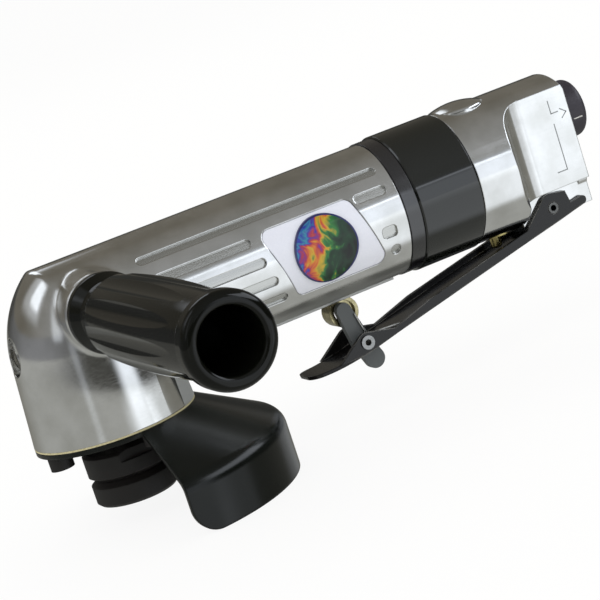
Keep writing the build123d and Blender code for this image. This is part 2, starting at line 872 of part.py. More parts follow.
def make_front_plate():
    """End plate that holds the rotor's front bearing."""
    end = motor_start + front_plate_thick
    pocket = motor_start + seat_gap + front_bearing_wide + seat_gap
    shape = rod_x(motor_bore_r - running, motor_start, end)
    shape -= rod_x(front_bearing_r, motor_start - overrun, pocket)
    return shape - rod_x(shaft_r + shaft_hole_gap, motor_start, end + overrun)


def make_rear_plate():
    """End plate that holds the rotor's rear bearing."""
    start = motor_start + front_plate_thick + liner_long
    end = start + rear_plate_thick
    shape = rod_x(motor_bore_r - running, start, end)
    shape -= rod_x(rear_bearing_r, end - rear_bearing_wide - 2 * seat_gap, end + overrun)
    return shape - rod_x(rear_journal_r + shaft_hole_gap, start - overrun, end)


def make_exhaust_ring():
    """Fixed ring between the barrel and the turning sleeve."""
    return rod_x(ring_r, ring_start, ring_end) - rod_x(neck_r, ring_start - overrun, ring_end + overrun)


def make_exhaust_sleeve():
    """Turning sleeve with outlet slots on one side."""
    inner = sleeve_r - sleeve_wall
    lip = neck_r + running
    shape = turned_x([(sleeve_start, lip), (sleeve_start, sleeve_r - sleeve_edge),
                      (sleeve_start + sleeve_edge, sleeve_r), (sleeve_end - sleeve_edge, sleeve_r),
                      (sleeve_end, sleeve_r - sleeve_edge), (sleeve_end, lip),
                      (sleeve_end - sleeve_lip, lip), (sleeve_end - sleeve_lip, inner),
                      (sleeve_start + sleeve_lip, inner), (sleeve_start + sleeve_lip, lip)])
    middle = (sleeve_start + sleeve_end) / 2
    first = sleeve_slot_mid - sleeve_slot_step * (sleeve_slots - 1) / 2
    for index in range(sleeve_slots):
        plane = barrel_plane(middle, first + sleeve_slot_step * index)
        shape -= extrude(plane * SlotOverall(sleeve_slot_long, sleeve_slot_wide), sleeve_r + overrun)
    return shape


def make_silencer_felt():
    """Felt ring that quiets the exhaust inside the sleeve."""
    start, end = sleeve_start + sleeve_lip + seat_gap, sleeve_end - sleeve_lip - seat_gap
    felt = rod_x(sleeve_r - sleeve_wall - felt_gap, start, end)
    return felt - rod_x(neck_r, start - overrun, end + overrun)


def seal_groove(start, outer, minor, z=axis_z):
    """Groove for a round seal ring in a bar along X."""
    return turned_x([(start - minor, outer - 2 * minor), (start + minor, outer - 2 * minor),
                     (start + minor, outer + minor), (start - minor, outer + minor)], z)


def round_ring(x, outer, minor, z=axis_z):
    """Round seal ring about an axis along X."""
    plane = Plane((x, 0, z), z_dir=(1, 0, 0))
    return plane * Torus(outer - minor, minor)


def valve_boss():
    """Low dome over the valve's bore."""
    def dome(radius):
        return (radius, boss_top_rise - valve_dome_r + math.sqrt(valve_dome_r ** 2 - radius ** 2))

    foot, edge = (valve_boss_r, 0), dome(valve_boss_r)
    section = make_face([Line((0, 0), dome(0)), ThreePointArc(dome(0), dome(valve_boss_r / 2), edge),
                         Line(edge, foot), Line(foot, (0, 0))])
    section = fillet(section.vertices().sort_by_distance((*edge, 0))[0], valve_boss_round)
    return Pos(valve_x, 0, axis_z) * revolve(Plane.XZ * section, Axis.Z, 360.0)


def make_valve_housing():
    """Rear casting with the neck, valve boss, side flats and lever lug."""
    shape = rod_x(motor_bore_r - running, neck_start, barrel_end - seat_gap)
    shape += rod_x(neck_r - press, neck_start, body_start)
    body = rod_x(valve_body_r, body_start, body_end)
    body = fillet(body.edges().sort_by(Axis.X)[-1], body_edge_round)
    body += valve_boss()
    flat_start = body_start + scoop_start
    low, high = axis_z - valve_body_r - overrun, axis_z + boss_top_rise + overrun
    for side in (-1, 1):
        near, far = sorted((side * side_flat, side * (side_flat + scoop_r + overrun)))
        scoop = block((flat_start, near, low), (body_end + overrun, far, high))
        inner = scoop.edges().filter_by(Axis.Z).sort_by(Axis.X)[:2].sort_by(Axis.Y)
        scoop = fillet(inner[-1] if side < 0 else inner[0], scoop_r)
        body -= scoop
        near, far = sorted((side * lug_half, side * (valve_body_r + overrun)))
        body -= block((body_start + lug_start, near, low), (body_end + overrun, far, axis_z - lug_step_drop))
    body += block((body_start + lug_start, -lug_half, axis_z - lug_bottom_drop), (inlet_x, lug_half, inlet_z))
    body += rod_x(inlet_boss_r, body_end - lug_proud, inlet_x, 0, inlet_z)
    body -= block((body_start + lug_start, -lug_half, low),
                  (inlet_x + overrun, lug_half, axis_z - lug_bottom_drop))
    shape += body
    shape -= rod_x(neck_bore_r, neck_start - overrun, body_start + neck_pocket_end)
    port_x = (sleeve_start + sleeve_end) / 2
    port = rod(neck_port_r, (port_x, 0, axis_z), (port_x, 0, axis_z + neck_r + overrun))
    shape -= wheel_of(port, neck_ports, Axis((0, 0, axis_z), (1, 0, 0)))
    shape -= seal_groove(barrel_end - 3 * seal_r, motor_bore_r, seal_r)
    shape -= rod_z(valve_bore_r, low, axis_z - valve_step_drop, valve_x)
    shape -= rod_z(valve_upper_r, axis_z - valve_step_drop, axis_z + valve_top_rise, valve_x)
    shape -= rod_x(valve_outlet_r, body_start, valve_x, 0, axis_z - valve_outlet_drop)
    shape -= rod_x(inlet_r, inlet_x - inlet_deep, inlet_x + overrun, 0, inlet_z)
    shape -= rod_x(screen_seat_r, inlet_x - screen_seat_deep, inlet_x, 0, inlet_z)
    shape -= rod_x(inlet_passage_r, inlet_x - inlet_passage_deep, inlet_x, 0, inlet_z)
    shape -= rod_x(regulator_bore_r, body_end - regulator_deep, body_end + overrun, 0, regulator_z)
    shape -= rod_x(regulator_passage_r, valve_x, body_end - regulator_deep, 0, regulator_z)
    shape -= rod_z(cross_passage_r, inlet_z, regulator_z, body_end - cross_passage_in)
    shape -= rod_y(lever_pin_r + press, -valve_body_r, valve_body_r, lever_pin_x, lever_pin_z)
    return shape


def make_valve_bush():
    """Bush that guides the valve stem, pressed in from below."""
    low, high = axis_z - valve_body_r + bush_recess, axis_z - bush_top_drop
    return rod_z(valve_bore_r - press, low, high, valve_x) - rod_z(stem_r + running, low, high, valve_x)


def make_valve_seal():
    """Seat ring that the poppet closes on."""
    high = axis_z - valve_step_drop
    low = high - seal_ring_thick
    return rod_z(valve_bore_r - press, low, high, valve_x) - rod_z(seal_hole_r, low, high, valve_x)


def lever_web_top(x):
    """Height of the lever's web inside the channel at a place along the barrel."""
    tilt = math.radians(lever_tilt)
    under = lever_under - lever_sheet
    return lever_pin_z - (lever_pin_x - x) * math.tan(tilt) - under / math.cos(tilt)


def make_valve_stem():
    """Brass stem from the lever up to the poppet, with a rounded foot."""
    low = lever_web_top(valve_x) + stem_r * math.tan(math.radians(lever_tilt)) + stem_gap
    stem = rod_z(stem_r, low, axis_z - valve_step_drop + seat_gap, valve_x)
    return fillet(stem.edges().sort_by(Axis.Z)[0], stem_r / 2)


def make_valve_poppet():
    """Poppet that rides on the stem and closes the seat."""
    low = axis_z - valve_step_drop + seat_gap
    return rod_z(poppet_r, low, low + poppet_high, valve_x)


def make_valve_spring():
    """Coil spring that closes the poppet."""
    low = axis_z - valve_step_drop + seat_gap + poppet_high + valve_wire_r + seat_gap / 2
    high = axis_z + valve_top_rise - valve_wire_r - seat_gap / 2
    frame = (Vector(0, 0, 1), Vector(1, 0, 0), Vector(0, 1, 0))
    last_turn = 360.0 * valve_spring_turns
    edges, _, _ = coil(Vector(valve_x, 0, low), valve_spring_r, high - low, 0.0, last_turn, frame)
    print_gap("valve_spring", edges, valve_wire_r, 2 * math.pi * valve_spring_r)
    return wire_form(edges, valve_wire_r)


def make_inlet_screen():
    """Disc of mesh at the bottom of the air inlet."""
    start = inlet_x - screen_seat_deep
    return rod_x(screen_seat_r - press, start, start + screen_thick, 0, inlet_z)


def make_regulator_knob():
    """Round knob behind the rear casting."""
    start = body_end + seat_gap
    knob = rod_x(knob_r, start, start + knob_long, 0, regulator_z)
    knob = fillet(knob.edges().sort_by(Axis.X)[-1], knob_round)
    return knob - rod_x(regulator_bore_r - running, start - overrun, start + knob_socket_deep, 0, regulator_z)


def make_regulator_spool():
    """Spool on the knob, with a cross hole that meters the air."""
    start = body_end - regulator_deep + spool_tail
    end = body_end + seat_gap + knob_socket_deep
    spool = rod_x(regulator_bore_r - running, start, end, 0, regulator_z)
    cross_x = body_end - cross_passage_in
    spool -= rod_x(regulator_passage_r, start - overrun, cross_x + cross_passage_r, 0, regulator_z)
    spool -= rod_z(cross_passage_r, regulator_z - knob_r, regulator_z, cross_x)
    return spool - seal_groove(body_end - spool_ring_in, regulator_bore_r, spool_ring_r, regulator_z)


def make_regulator_ring():
    """Seal ring on the spool."""
    outer, minor = regulator_bore_r - running, spool_ring_r - running
    return round_ring(body_end - spool_ring_in, outer, minor, regulator_z)


def lever_place():
    """Place of the lever's flat drawing: its pin at the origin and its front towards -X."""
    return Pos(lever_pin_x, 0, lever_pin_z) * Rot(0, -lever_tilt, 0)


def lever_tip_arc(lift):
    """Curve of the lever's upturned front, lifted from its underside."""
    under = lift - lever_under
    return ThreePointArc((-lever_tip_start, under), (-lever_tip_mid, under + lever_tip_mid_rise),
                         (-lever_tip, under + lever_tip_rise))


def ear_hull(centre, radius, corners):
    """Flat outline that wraps a round ear and the corners of its foot."""
    ring = Pos(*centre) * Circle(radius)
    foot = Polyline(*corners, close=True)
    return make_hull(ring.edges() + foot.edges())


def wall_outline():
    """Side wall of the lever: ear at the pin, low wall, ear at the lock tab and fading nose."""
    low, top, dip = -lever_under, lever_wall - lever_under, lever_dip_high - lever_under
    tab_pin_up = tab_pin_over - lever_under
    nose_low = lever_tip_mid_rise - lever_under
    pin_ear = ear_hull((0, 0), lever_ear_r, [(lever_ear_back, low), (lever_ear_back, lever_ear_back_top),
                                             (-lever_wall_start, top), (-lever_wall_start, low)])
    heel = ear_hull((lever_heel_long - lever_heel_r, -lever_heel_top - lever_heel_r), lever_heel_r,
                    [(0, low), (0, -lever_heel_top), (lever_heel_long - lever_heel_r, low)])
    tab_ear = ear_hull((-tab_pin_at, tab_pin_up), tab_ear_r,
                       [(-lever_wall_dip, low), (-lever_wall_dip, dip),
                        (-lever_tip_mid, nose_low + lever_sheet), (-lever_tip_start, low)])
    rail = make_face(Polyline((0, low), (0, top), (-lever_wall_fall, top), (-lever_wall_dip, dip),
                              (-tab_pin_at, dip), (-tab_pin_at, low), close=True))
    return pin_ear + heel + tab_ear + rail


def make_throttle_lever():
    """Pressed channel lever, open upwards, with a slot for the lock tab."""
    low, high = -lever_under, lever_sheet - lever_under
    under, over = lever_tip_arc(0.0), lever_tip_arc(lever_sheet)
    flat = Line((-lever_web_start, low), (-lever_tip_start, low))
    end = Line(under @ 1, over @ 1)
    back = Line((-lever_tip_start, high), (-lever_web_start, high))
    close = Line((-lever_web_start, high), (-lever_web_start, low))
    strip = Plane.XZ * make_face([flat, under, end, over, back, close])
    web = extrude(strip, lever_half, both=True)
    front = lever_tip + seat_gap
    plan_points = [(-lever_web_start + overrun, -lever_half), (-lever_web_start + overrun, lever_half),
                   (-lever_tip_start, lever_half), (-front, lever_tip_r),
                   (-front, -lever_tip_r), (-lever_tip_start, -lever_half)]
    plan = make_face(Polyline(*plan_points, close=True))
    tips = plan.vertices().sort_by(Axis.X)[:2]
    plan = fillet(tips, lever_tip_round)
    web &= extrude(plan, lever_tip, both=True)
    wall = extrude(Plane.XZ * wall_outline(), lever_sheet)
    near = Pos(0, -lever_half + lever_sheet, 0) * wall
    far = Pos(0, lever_half, 0) * wall
    shape = web + near + far
    shape -= rod_y(lever_pin_r + running, -lever_half - overrun, lever_half + overrun, 0, 0)
    shape -= rod_y(tab_pin_r + press, -lever_half - overrun, 0, -tab_pin_at, tab_pin_over - lever_under)
    slot_low = (-tab_pin_at - tab_slot_front, -lever_half + lever_sheet + seat_gap, low - overrun)
    slot_high = (-tab_pin_at + tab_slot_back, tab_far + tab_slot_side, high + seat_gap)
    shape -= block(slot_low, slot_high)
    return lever_place() * shape


def make_lever_pin():
    """Roll pin that the lever swings on."""
    reach = lever_half + seat_gap
    return (rod_y(lever_pin_r, -reach, reach, lever_pin_x, lever_pin_z)
            - rod_y(lever_pin_bore, -reach, reach, lever_pin_x, lever_pin_z))


def tab_pin_place():
    """Centre of the lock tab's pin."""
    tilt = math.radians(lever_tilt)
    along, up = -tab_pin_at, tab_pin_over - lever_under
    return (lever_pin_x + along * math.cos(tilt) - up * math.sin(tilt),
            lever_pin_z + along * math.sin(tilt) + up * math.cos(tilt))


def tab_point(length, lean):
    """Point at a distance from the tab's pin, leaning forward from straight up."""
    x, z = tab_pin_place()
    turn = math.radians(lean)
    return (x - length * math.sin(turn), z + length * math.cos(turn))


def tab_limb(length, lean, radius, end_radius):
    """Flat limb of the tab from its pin outwards, with round ends."""
    x, z = tab_pin_place()
    end_x, end_z = tab_point(length - end_radius, lean)
    turn = math.radians(lean)
    side = (math.cos(turn), math.sin(turn))
    limb = make_face(Polyline((x - radius * side[0], -(z - radius * side[1])),
                              (end_x - end_radius * side[0], -(end_z - end_radius * side[1])),
                              (end_x + end_radius * side[0], -(end_z + end_radius * side[1])),
                              (x + radius * side[0], -(z + radius * side[1])), close=True))
    flat = extrude(Plane((0, tab_near, 0), x_dir=(1, 0, 0), z_dir=(0, 1, 0)) * limb, tab_thick)
    flat += rod_y(radius, tab_near, tab_far, x, z)
    return flat + rod_y(end_radius, tab_near, tab_far, end_x, end_z)


def make_lock_tab():
    """Lock tab: an arm that props under the barrel and a tongue for the finger."""
    x, z = tab_pin_place()
    shape = tab_limb(tab_arm, tab_arm_lean, tab_tongue_r, tab_arm_r)
    shape += tab_limb(tab_tongue, 180.0 + tab_tongue_lean, tab_tongue_r, tab_tongue_r)
    return shape - rod_y(tab_pin_r + running, tab_near - overrun, tab_far + overrun, x, z)


def make_tab_pin():
    """Hollow headed rivet that carries the lock tab on the lever's near wall."""
    x, z = tab_pin_place()
    start, end = -lever_half - tab_pin_head, tab_far + seat_gap / 2
    rivet = rod_y(tab_pin_head_r, start, -lever_half, x, z) + rod_y(tab_pin_r, -lever_half, end, x, z)
    return rivet - rod_y(tab_pin_bore, start - overrun, end + overrun, x, z)


def make_lock_spring():
    """Torsion spring on the tab's pin: one leg lies on the lever's web, the other along the tab's arm."""
    x, z = tab_pin_place()
    tilt = math.radians(lever_tilt)
    back = Vector(math.cos(tilt), 0, math.sin(tilt))
    up = Vector(-math.sin(tilt), 0, math.cos(tilt))
    rest_along = tab_slot_back + lock_rest
    rest_down = tab_pin_over - lever_sheet - lock_wire_r - lock_rest_gap
    reach = math.hypot(rest_along, rest_down)
    first_turn = math.degrees(math.acos(lock_coil_r / reach) - math.atan2(rest_down, rest_along))
    last_turn = 360.0 * lock_turns + tab_arm_lean - lever_tilt
    near = -lever_half + lever_sheet + lock_wire_r + seat_gap
    far = tab_near - lock_wire_r - seat_gap
    edges, (start, start_way), (end, end_way) = coil(Vector(x, near, z), lock_coil_r, far - near, first_turn,
                                                     last_turn, (Vector(0, 1, 0), back, up))
    print_gap("lock_spring", edges, lock_wire_r, 2 * math.pi * lock_coil_r)
    web_leg = math.sqrt(reach * reach - lock_coil_r * lock_coil_r)
    first = [Edge.make_line(start - start_way * web_leg, start)]
    last = [Edge.make_line(end, end + end_way * lock_arm_leg)]
    return wire_form(first + edges + last, lock_wire_r)


def make_hanger_eye():
    """Round eye with a shank screwed into the bottom of the barrel."""
    z = axis_z - eye_drop
    far = eye_near + eye_wide
    middle = (eye_near + far) / 2
    eye = rod_y(eye_r, eye_near, far, eye_x, z)
    eye += rod_z(eye_shank_r - press, z, axis_z - eye_shank_top, eye_x, middle)
    eye -= rod_y(eye_bore_r, eye_near - overrun, far + overrun, eye_x, z)
    eye -= rod_y(eye_recess_r, eye_near - overrun, eye_near + eye_recess_deep, eye_x, z)
    return eye - rod_y(eye_recess_r, far - eye_recess_deep, far + overrun, eye_x, z)


def seat_hanger_eye():
    """Hanger eye cut to the barrel that it sits against."""
    eye = make_hanger_eye()
    shell = rod_x(barrel_r + press, barrel_start, barrel_end) - rod_z(
        eye_shank_r, axis_z - barrel_r - overrun, axis_z - eye_shank_top, eye_x, eye_near + eye_wide / 2)
    return eye - shell - make_keel()


def make_handle_grip():
    """Moulded hollow grip with flutes, a collar at the head and a lip at the open end."""
    def at(length, radius):
        return (radius, length)

    inner_end = handle_long - handle_end_thick
    start, end = (0, 0), (0, handle_long)
    collar = Polyline(start, at(0, handle_flange_r), at(handle_flange_thick, handle_flange_r),
                      at(handle_neck_at, handle_neck_r), at(handle_neck_end, handle_neck_r),
                      at(handle_swell_at, handle_swell_r))
    belly = ThreePointArc(at(handle_swell_at, handle_swell_r), at(handle_belly_at, handle_belly_r),
                          at(handle_taper_at, handle_taper_r))
    lip = Polyline(at(handle_taper_at, handle_taper_r), at(inner_end, handle_end_r - handle_edge_round),
                   at(inner_end + handle_edge_round, handle_end_r), at(handle_long, handle_end_r), end, start)
    face = make_face(collar.edges() + [belly] + lip.edges())
    grip = revolve(face, Axis.Y, 360.0)
    for place, size in ((0, handle_edge_round), (handle_flange_thick, handle_edge_round),
                        (handle_long, handle_rim_round)):
        rims = grip.edges().filter_by(GeomType.CIRCLE)
        grip = fillet([edge for edge in rims if abs(edge.center().Y - place) < running], size)
    flute = rod(flute_r, (handle_belly_r + flute_r - flute_deep, handle_neck_at, 0),
                (handle_belly_r + flute_r - flute_deep, inner_end, 0))
    grip -= wheel_of(flute, flute_count, Axis.Y)
    grip -= rod(handle_hole_r, (0, handle_long - handle_hole_deep, 0), (0, handle_long + overrun, 0))
    mouth = grip.edges().filter_by(GeomType.CIRCLE).sort_by_distance((handle_hole_r, handle_long, 0))[0]
    grip = fillet(mouth, handle_mouth_round)
    grip -= rod(handle_thread_r, (0, -overrun, 0), (0, stud_grip_depth, 0))
    return Pos(handle_x, -boss_face, handle_z) * Rot(0, 0, 180) * grip


def make_handle_stud():
    """Threaded stud moulded into the grip and screwed into the head."""
    start, end = -boss_face - stud_grip_depth, -handle_hole_bottom - overrun
    return rod_y(handle_thread_r - press, start, end, handle_x, handle_z)


upper_bearing, upper_race = bearing(upper_bearing_r - press, upper_journal_r + press, upper_bearing_rise,
                                    upper_bearing_wide, turn_z)
lower_bearing, lower_race = bearing(lower_bearing_r - press, spindle_r + press, -lower_bearing_drop,
                                    lower_bearing_wide, turn_z)
front_bearing, front_race = bearing(front_bearing_r - press, shaft_r + press, motor_start + seat_gap,
                                    front_bearing_wide, turn_x)
rear_bearing, rear_race = bearing(rear_bearing_r - press, rear_journal_r + press,
                                  neck_start - 2 * seat_gap - rear_bearing_wide, rear_bearing_wide, turn_x)

nodes = {
    "main_housing": make_main_housing(),
    "grease_plug": make_grease_plug(),
    "label_plate": make_label_plate(),
    "badge_disc": make_badge_disc(),
    "bearing_cap": make_bearing_cap(),
    "guard_gasket": make_gasket(),
    "wheel_guard": make_wheel_guard(),
    "guard_screws": make_guard_screws(),
    "upper_bearing": upper_bearing,
    "upper_race": upper_race,
    "lower_bearing": lower_bearing,
    "lower_race": lower_race,
    "spindle": make_spindle(),
    "bevel_gear": make_bevel_gear(),
    "inner_flange": make_inner_flange(),
    "flange_nut": make_flange_nut(),
    "bevel_pinion": make_bevel_pinion(),
    "rotor": make_rotor(),
    "vanes": make_vanes(),
    "cylinder_liner": make_liner(),
    "front_plate": make_front_plate(),
    "rear_plate": make_rear_plate(),
    "front_bearing": front_bearing,
    "front_race": front_race,
    "rear_bearing": rear_bearing,
    "rear_race": rear_race,
    "exhaust_ring": make_exhaust_ring(),
    "exhaust_sleeve": make_exhaust_sleeve(),
    "silencer_felt": make_silencer_felt(),
    "housing_seal": round_ring(barrel_end - 3 * seal_r, motor_bore_r, seal_r),
    "valve_housing": make_valve_housing(),
    "valve_bush": make_valve_bush(),
    "valve_seal": make_valve_seal(),
    "valve_stem": make_valve_stem(),
    "valve_poppet": make_valve_poppet(),
    "valve_spring": make_valve_spring(),
    "inlet_screen": make_inlet_screen(),
    "regulator_knob": make_regulator_knob(),
    "regulator_spool": make_regulator_spool(),
    "regulator_ring": make_regulator_ring(),
    "throttle_lever": make_throttle_lever(),
    "lever_pin": make_lever_pin(),
    "lock_tab": make_lock_tab(),
    "tab_pin": make_tab_pin(),
    "lock_spring": make_lock_spring(),
    "hanger_eye": seat_hanger_eye(),
    "handle_grip": make_handle_grip(),
    "handle_stud": make_handle_stud(),
}

os.makedirs("parts", exist_ok=True)
for name, shape in nodes.items():
    export_step(shape, f"parts/{name}.step")
    print(f"{name}: {len(shape.solids())} solid(s), {shape.volume:.0f} mm3")
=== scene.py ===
"""Looks of the air angle grinder: finishes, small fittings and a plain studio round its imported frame."""

from __future__ import annotations

import json
import logging
import math
from collections.abc import Callable
from dataclasses import dataclass
from enum import Enum

import bpy
from mathutils import Matrix, Vector
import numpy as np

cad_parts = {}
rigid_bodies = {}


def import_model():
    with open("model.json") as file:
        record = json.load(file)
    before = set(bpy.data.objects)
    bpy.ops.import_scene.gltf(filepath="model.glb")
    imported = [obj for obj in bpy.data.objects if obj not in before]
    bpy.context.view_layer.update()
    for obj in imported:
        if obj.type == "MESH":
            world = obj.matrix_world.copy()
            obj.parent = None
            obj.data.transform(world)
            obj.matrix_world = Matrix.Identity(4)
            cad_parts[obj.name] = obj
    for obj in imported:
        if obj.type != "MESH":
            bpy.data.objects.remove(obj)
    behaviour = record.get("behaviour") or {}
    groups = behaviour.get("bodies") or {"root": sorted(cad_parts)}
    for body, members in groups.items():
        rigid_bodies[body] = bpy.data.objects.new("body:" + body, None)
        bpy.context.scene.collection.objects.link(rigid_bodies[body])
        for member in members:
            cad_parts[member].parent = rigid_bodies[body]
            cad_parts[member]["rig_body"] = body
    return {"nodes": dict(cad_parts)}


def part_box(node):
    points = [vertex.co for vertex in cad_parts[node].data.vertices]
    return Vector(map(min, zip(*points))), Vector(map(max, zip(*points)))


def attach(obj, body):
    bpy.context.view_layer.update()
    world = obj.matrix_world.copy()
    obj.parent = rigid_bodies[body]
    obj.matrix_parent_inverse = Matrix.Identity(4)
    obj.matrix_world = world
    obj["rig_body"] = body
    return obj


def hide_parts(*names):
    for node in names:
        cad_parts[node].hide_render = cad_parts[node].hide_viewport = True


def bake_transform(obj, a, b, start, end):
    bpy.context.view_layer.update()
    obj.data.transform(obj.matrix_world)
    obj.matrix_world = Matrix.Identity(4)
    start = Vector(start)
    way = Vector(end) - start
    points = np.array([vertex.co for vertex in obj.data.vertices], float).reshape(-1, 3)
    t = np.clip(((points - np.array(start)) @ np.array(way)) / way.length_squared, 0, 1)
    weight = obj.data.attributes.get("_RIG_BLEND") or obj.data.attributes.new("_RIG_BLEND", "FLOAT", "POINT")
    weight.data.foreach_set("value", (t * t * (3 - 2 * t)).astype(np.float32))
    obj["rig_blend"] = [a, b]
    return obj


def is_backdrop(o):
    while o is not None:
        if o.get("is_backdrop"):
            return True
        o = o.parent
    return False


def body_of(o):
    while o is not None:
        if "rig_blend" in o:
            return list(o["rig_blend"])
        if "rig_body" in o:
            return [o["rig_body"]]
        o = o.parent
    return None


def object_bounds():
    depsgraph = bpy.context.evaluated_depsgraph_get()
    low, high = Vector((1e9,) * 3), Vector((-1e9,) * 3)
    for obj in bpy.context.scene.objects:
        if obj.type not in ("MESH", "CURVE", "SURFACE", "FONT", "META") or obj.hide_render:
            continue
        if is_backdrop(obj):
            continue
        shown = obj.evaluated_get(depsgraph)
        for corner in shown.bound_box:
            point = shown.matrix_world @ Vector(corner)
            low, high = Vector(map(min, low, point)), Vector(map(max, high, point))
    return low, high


LOG = logging.getLogger("grinder")
MM = 0.001
BARREL_AXIS_MM = (0.0, 0.0, 51.4)
WELD_MM = 0.01
WHITE = "#ffffff"
NOISE_SPAN = (0.3, 0.7)  # nearly all of a noise texture lies between these
WAVE_PHASE = 20.0  # phase that a Wave texture of scale 1 gains per unit
# The edge mask set by these places rubbed metal on coats, painted highlight on the lever's edges and painted shade on
# the label's edge.
EDGE_COSINES = (0.985, 0.84)  # between a rounded and the true normal, where wear starts and where it is full
EDGE_LEVELS = (0.42, 0.62)  # of the patches' noise, where wear starts and where it is full

Socket = bpy.types.NodeSocket
Piece = bpy.types.Object
Colour = tuple[float, float, float, float]
Point = tuple[float, float, float]
Pair = tuple[float, float]
Stops = tuple[tuple[float, str], ...]


class Turn(Enum):
    """Line about which a piece was turned, so its tool marks run round it."""

    SPINDLE = "about the spindle, upright through the origin"
    BARREL = "about the barrel's axis, lengthwise"
    NONE = "not turned: ground or drawn"


def linear(code: str) -> Colour:
    """Turn an sRGB hex colour into linear colour.

    Args:
        code: The colour as #rrggbb.

    Returns:
        Red, green, blue and alpha, linear.
    """
    shares = [int(code[at:at + 2], 16) / 255 for at in (1, 3, 5)]
    red, green, blue = (s / 12.92 if s <= 0.04045 else ((s + 0.055) / 1.055) ** 2.4 for s in shares)
    return red, green, blue, 1.0


def per(size_mm: float) -> float:
    """Return the texture scale at which a feature measures size_mm, in coordinates of metres."""
    return 1.0 / (size_mm * MM)


@dataclass
class Graph:
    """Node tree of a material or world, emptied, and the coordinates that its patterns follow."""

    owner: bpy.types.Material | bpy.types.World
    coordinates: str = "Object"

    def __post_init__(self) -> None:
        """Empty the owner's node tree and add the coordinates."""
        self.owner.use_nodes = True
        self.tree = self.owner.node_tree
        self.tree.nodes.clear()
        self.place = self.add("TexCoord", out=self.coordinates)

    def add(self, kind: str, *inputs: object, out: str = "", stops: Stops = (), **settings: object) -> Socket | None:
        """Add a shader node with its settings and links.

        Args:
            kind: The node's type, without its ShaderNode prefix.
            inputs: Sockets to link, values or hex colours, in the order of the inputs in use.
            out: Name of the wanted output, or nothing for the first one in use.
            stops: Places and hex colours of a colour ramp.
            settings: Properties, and further inputs by name, with underscores for spaces.

        Returns:
            The wanted output, or nothing where the node has none.
        """
        node = self.tree.nodes.new("ShaderNode" + kind)
        named = {}
        for key, value in settings.items():
            name = key.replace("_", " ")
            if name in node.inputs:
                named[name] = value
            else:
                setattr(node, key, value)
        used = (socket for socket in node.inputs if socket.enabled)
        for socket, value in [*zip(used, inputs), *((node.inputs[name], value) for name, value in named.items())]:
            if isinstance(value, Socket):
                self.tree.links.new(value, socket)
            else:
                socket.default_value = linear(value) if isinstance(value, str) else value
        for index, (share, code) in enumerate(stops):
            elements = node.color_ramp.elements
            element = elements[index] if index < 2 else elements.new(share)
            element.position, element.color = share, linear(code)
        return node.outputs[out] if out else next((socket for socket in node.outputs if socket.enabled), None)

    def off_axis(self, centre_mm: Point, across: Point) -> tuple[Socket, Socket]:
        """Place measured from a point of an axis, and distance from that axis.

        Args:
            centre_mm: The point of the axis.
            across: 1 for the directions across the axis, 0 for the one along it.

        Returns:
            The vector from that point and the distance from the axis, in metres.
        """
        centred = self.add("VectorMath", self.place, tuple(v * MM for v in centre_mm), operation="SUBTRACT")
        flat = self.add("VectorMath", centred, across, operation="MULTIPLY")
        return centred, self.add("VectorMath", flat, operation="LENGTH")

    # Places rubbed metal on coats, and also painted highlight along the lever's edges and painted shade along the
    # label's edge.
    def edge_mask(self, width_mm: float, patch_mm: float) -> Socket:
        """Mask along edges, where a rounded normal leaves the true one, broken into patches.

        Args:
            width_mm: How far the mask reaches from an edge.
            patch_mm: Size of the patches.

        Returns:
            A socket from 0, away from edges, to 1, on an edge.
        """
        rounded = self.add("Bevel", width_mm * MM, samples=6)
        true = self.add("NewGeometry", out="Normal")
        same = self.add("VectorMath", rounded, true, operation="DOT_PRODUCT")
        edge = self.add("MapRange", same, *EDGE_COSINES)
        patches = self.add("TexNoise", self.place, per(patch_mm), Detail=4.0)
        broken = self.add("MapRange", patches, *EDGE_LEVELS)
        return self.add("Math", edge, broken, operation="MULTIPLY")


@dataclass(frozen=True)
class Finish:
    """A surface finish that writes itself as a node material."""

    title: str

    def material(self) -> bpy.types.Material:
        """Write the finish as a new material.

        Returns:
            The material, with this finish as its surface.
        """
        made = bpy.data.materials.new(self.title)
        graph = Graph(made)
        graph.add("OutputMaterial", self.shade(graph))
        return made

    def shade(self, graph: Graph) -> Socket:
        """Write the finish's nodes into a material's graph, and return the shader."""
        raise NotImplementedError


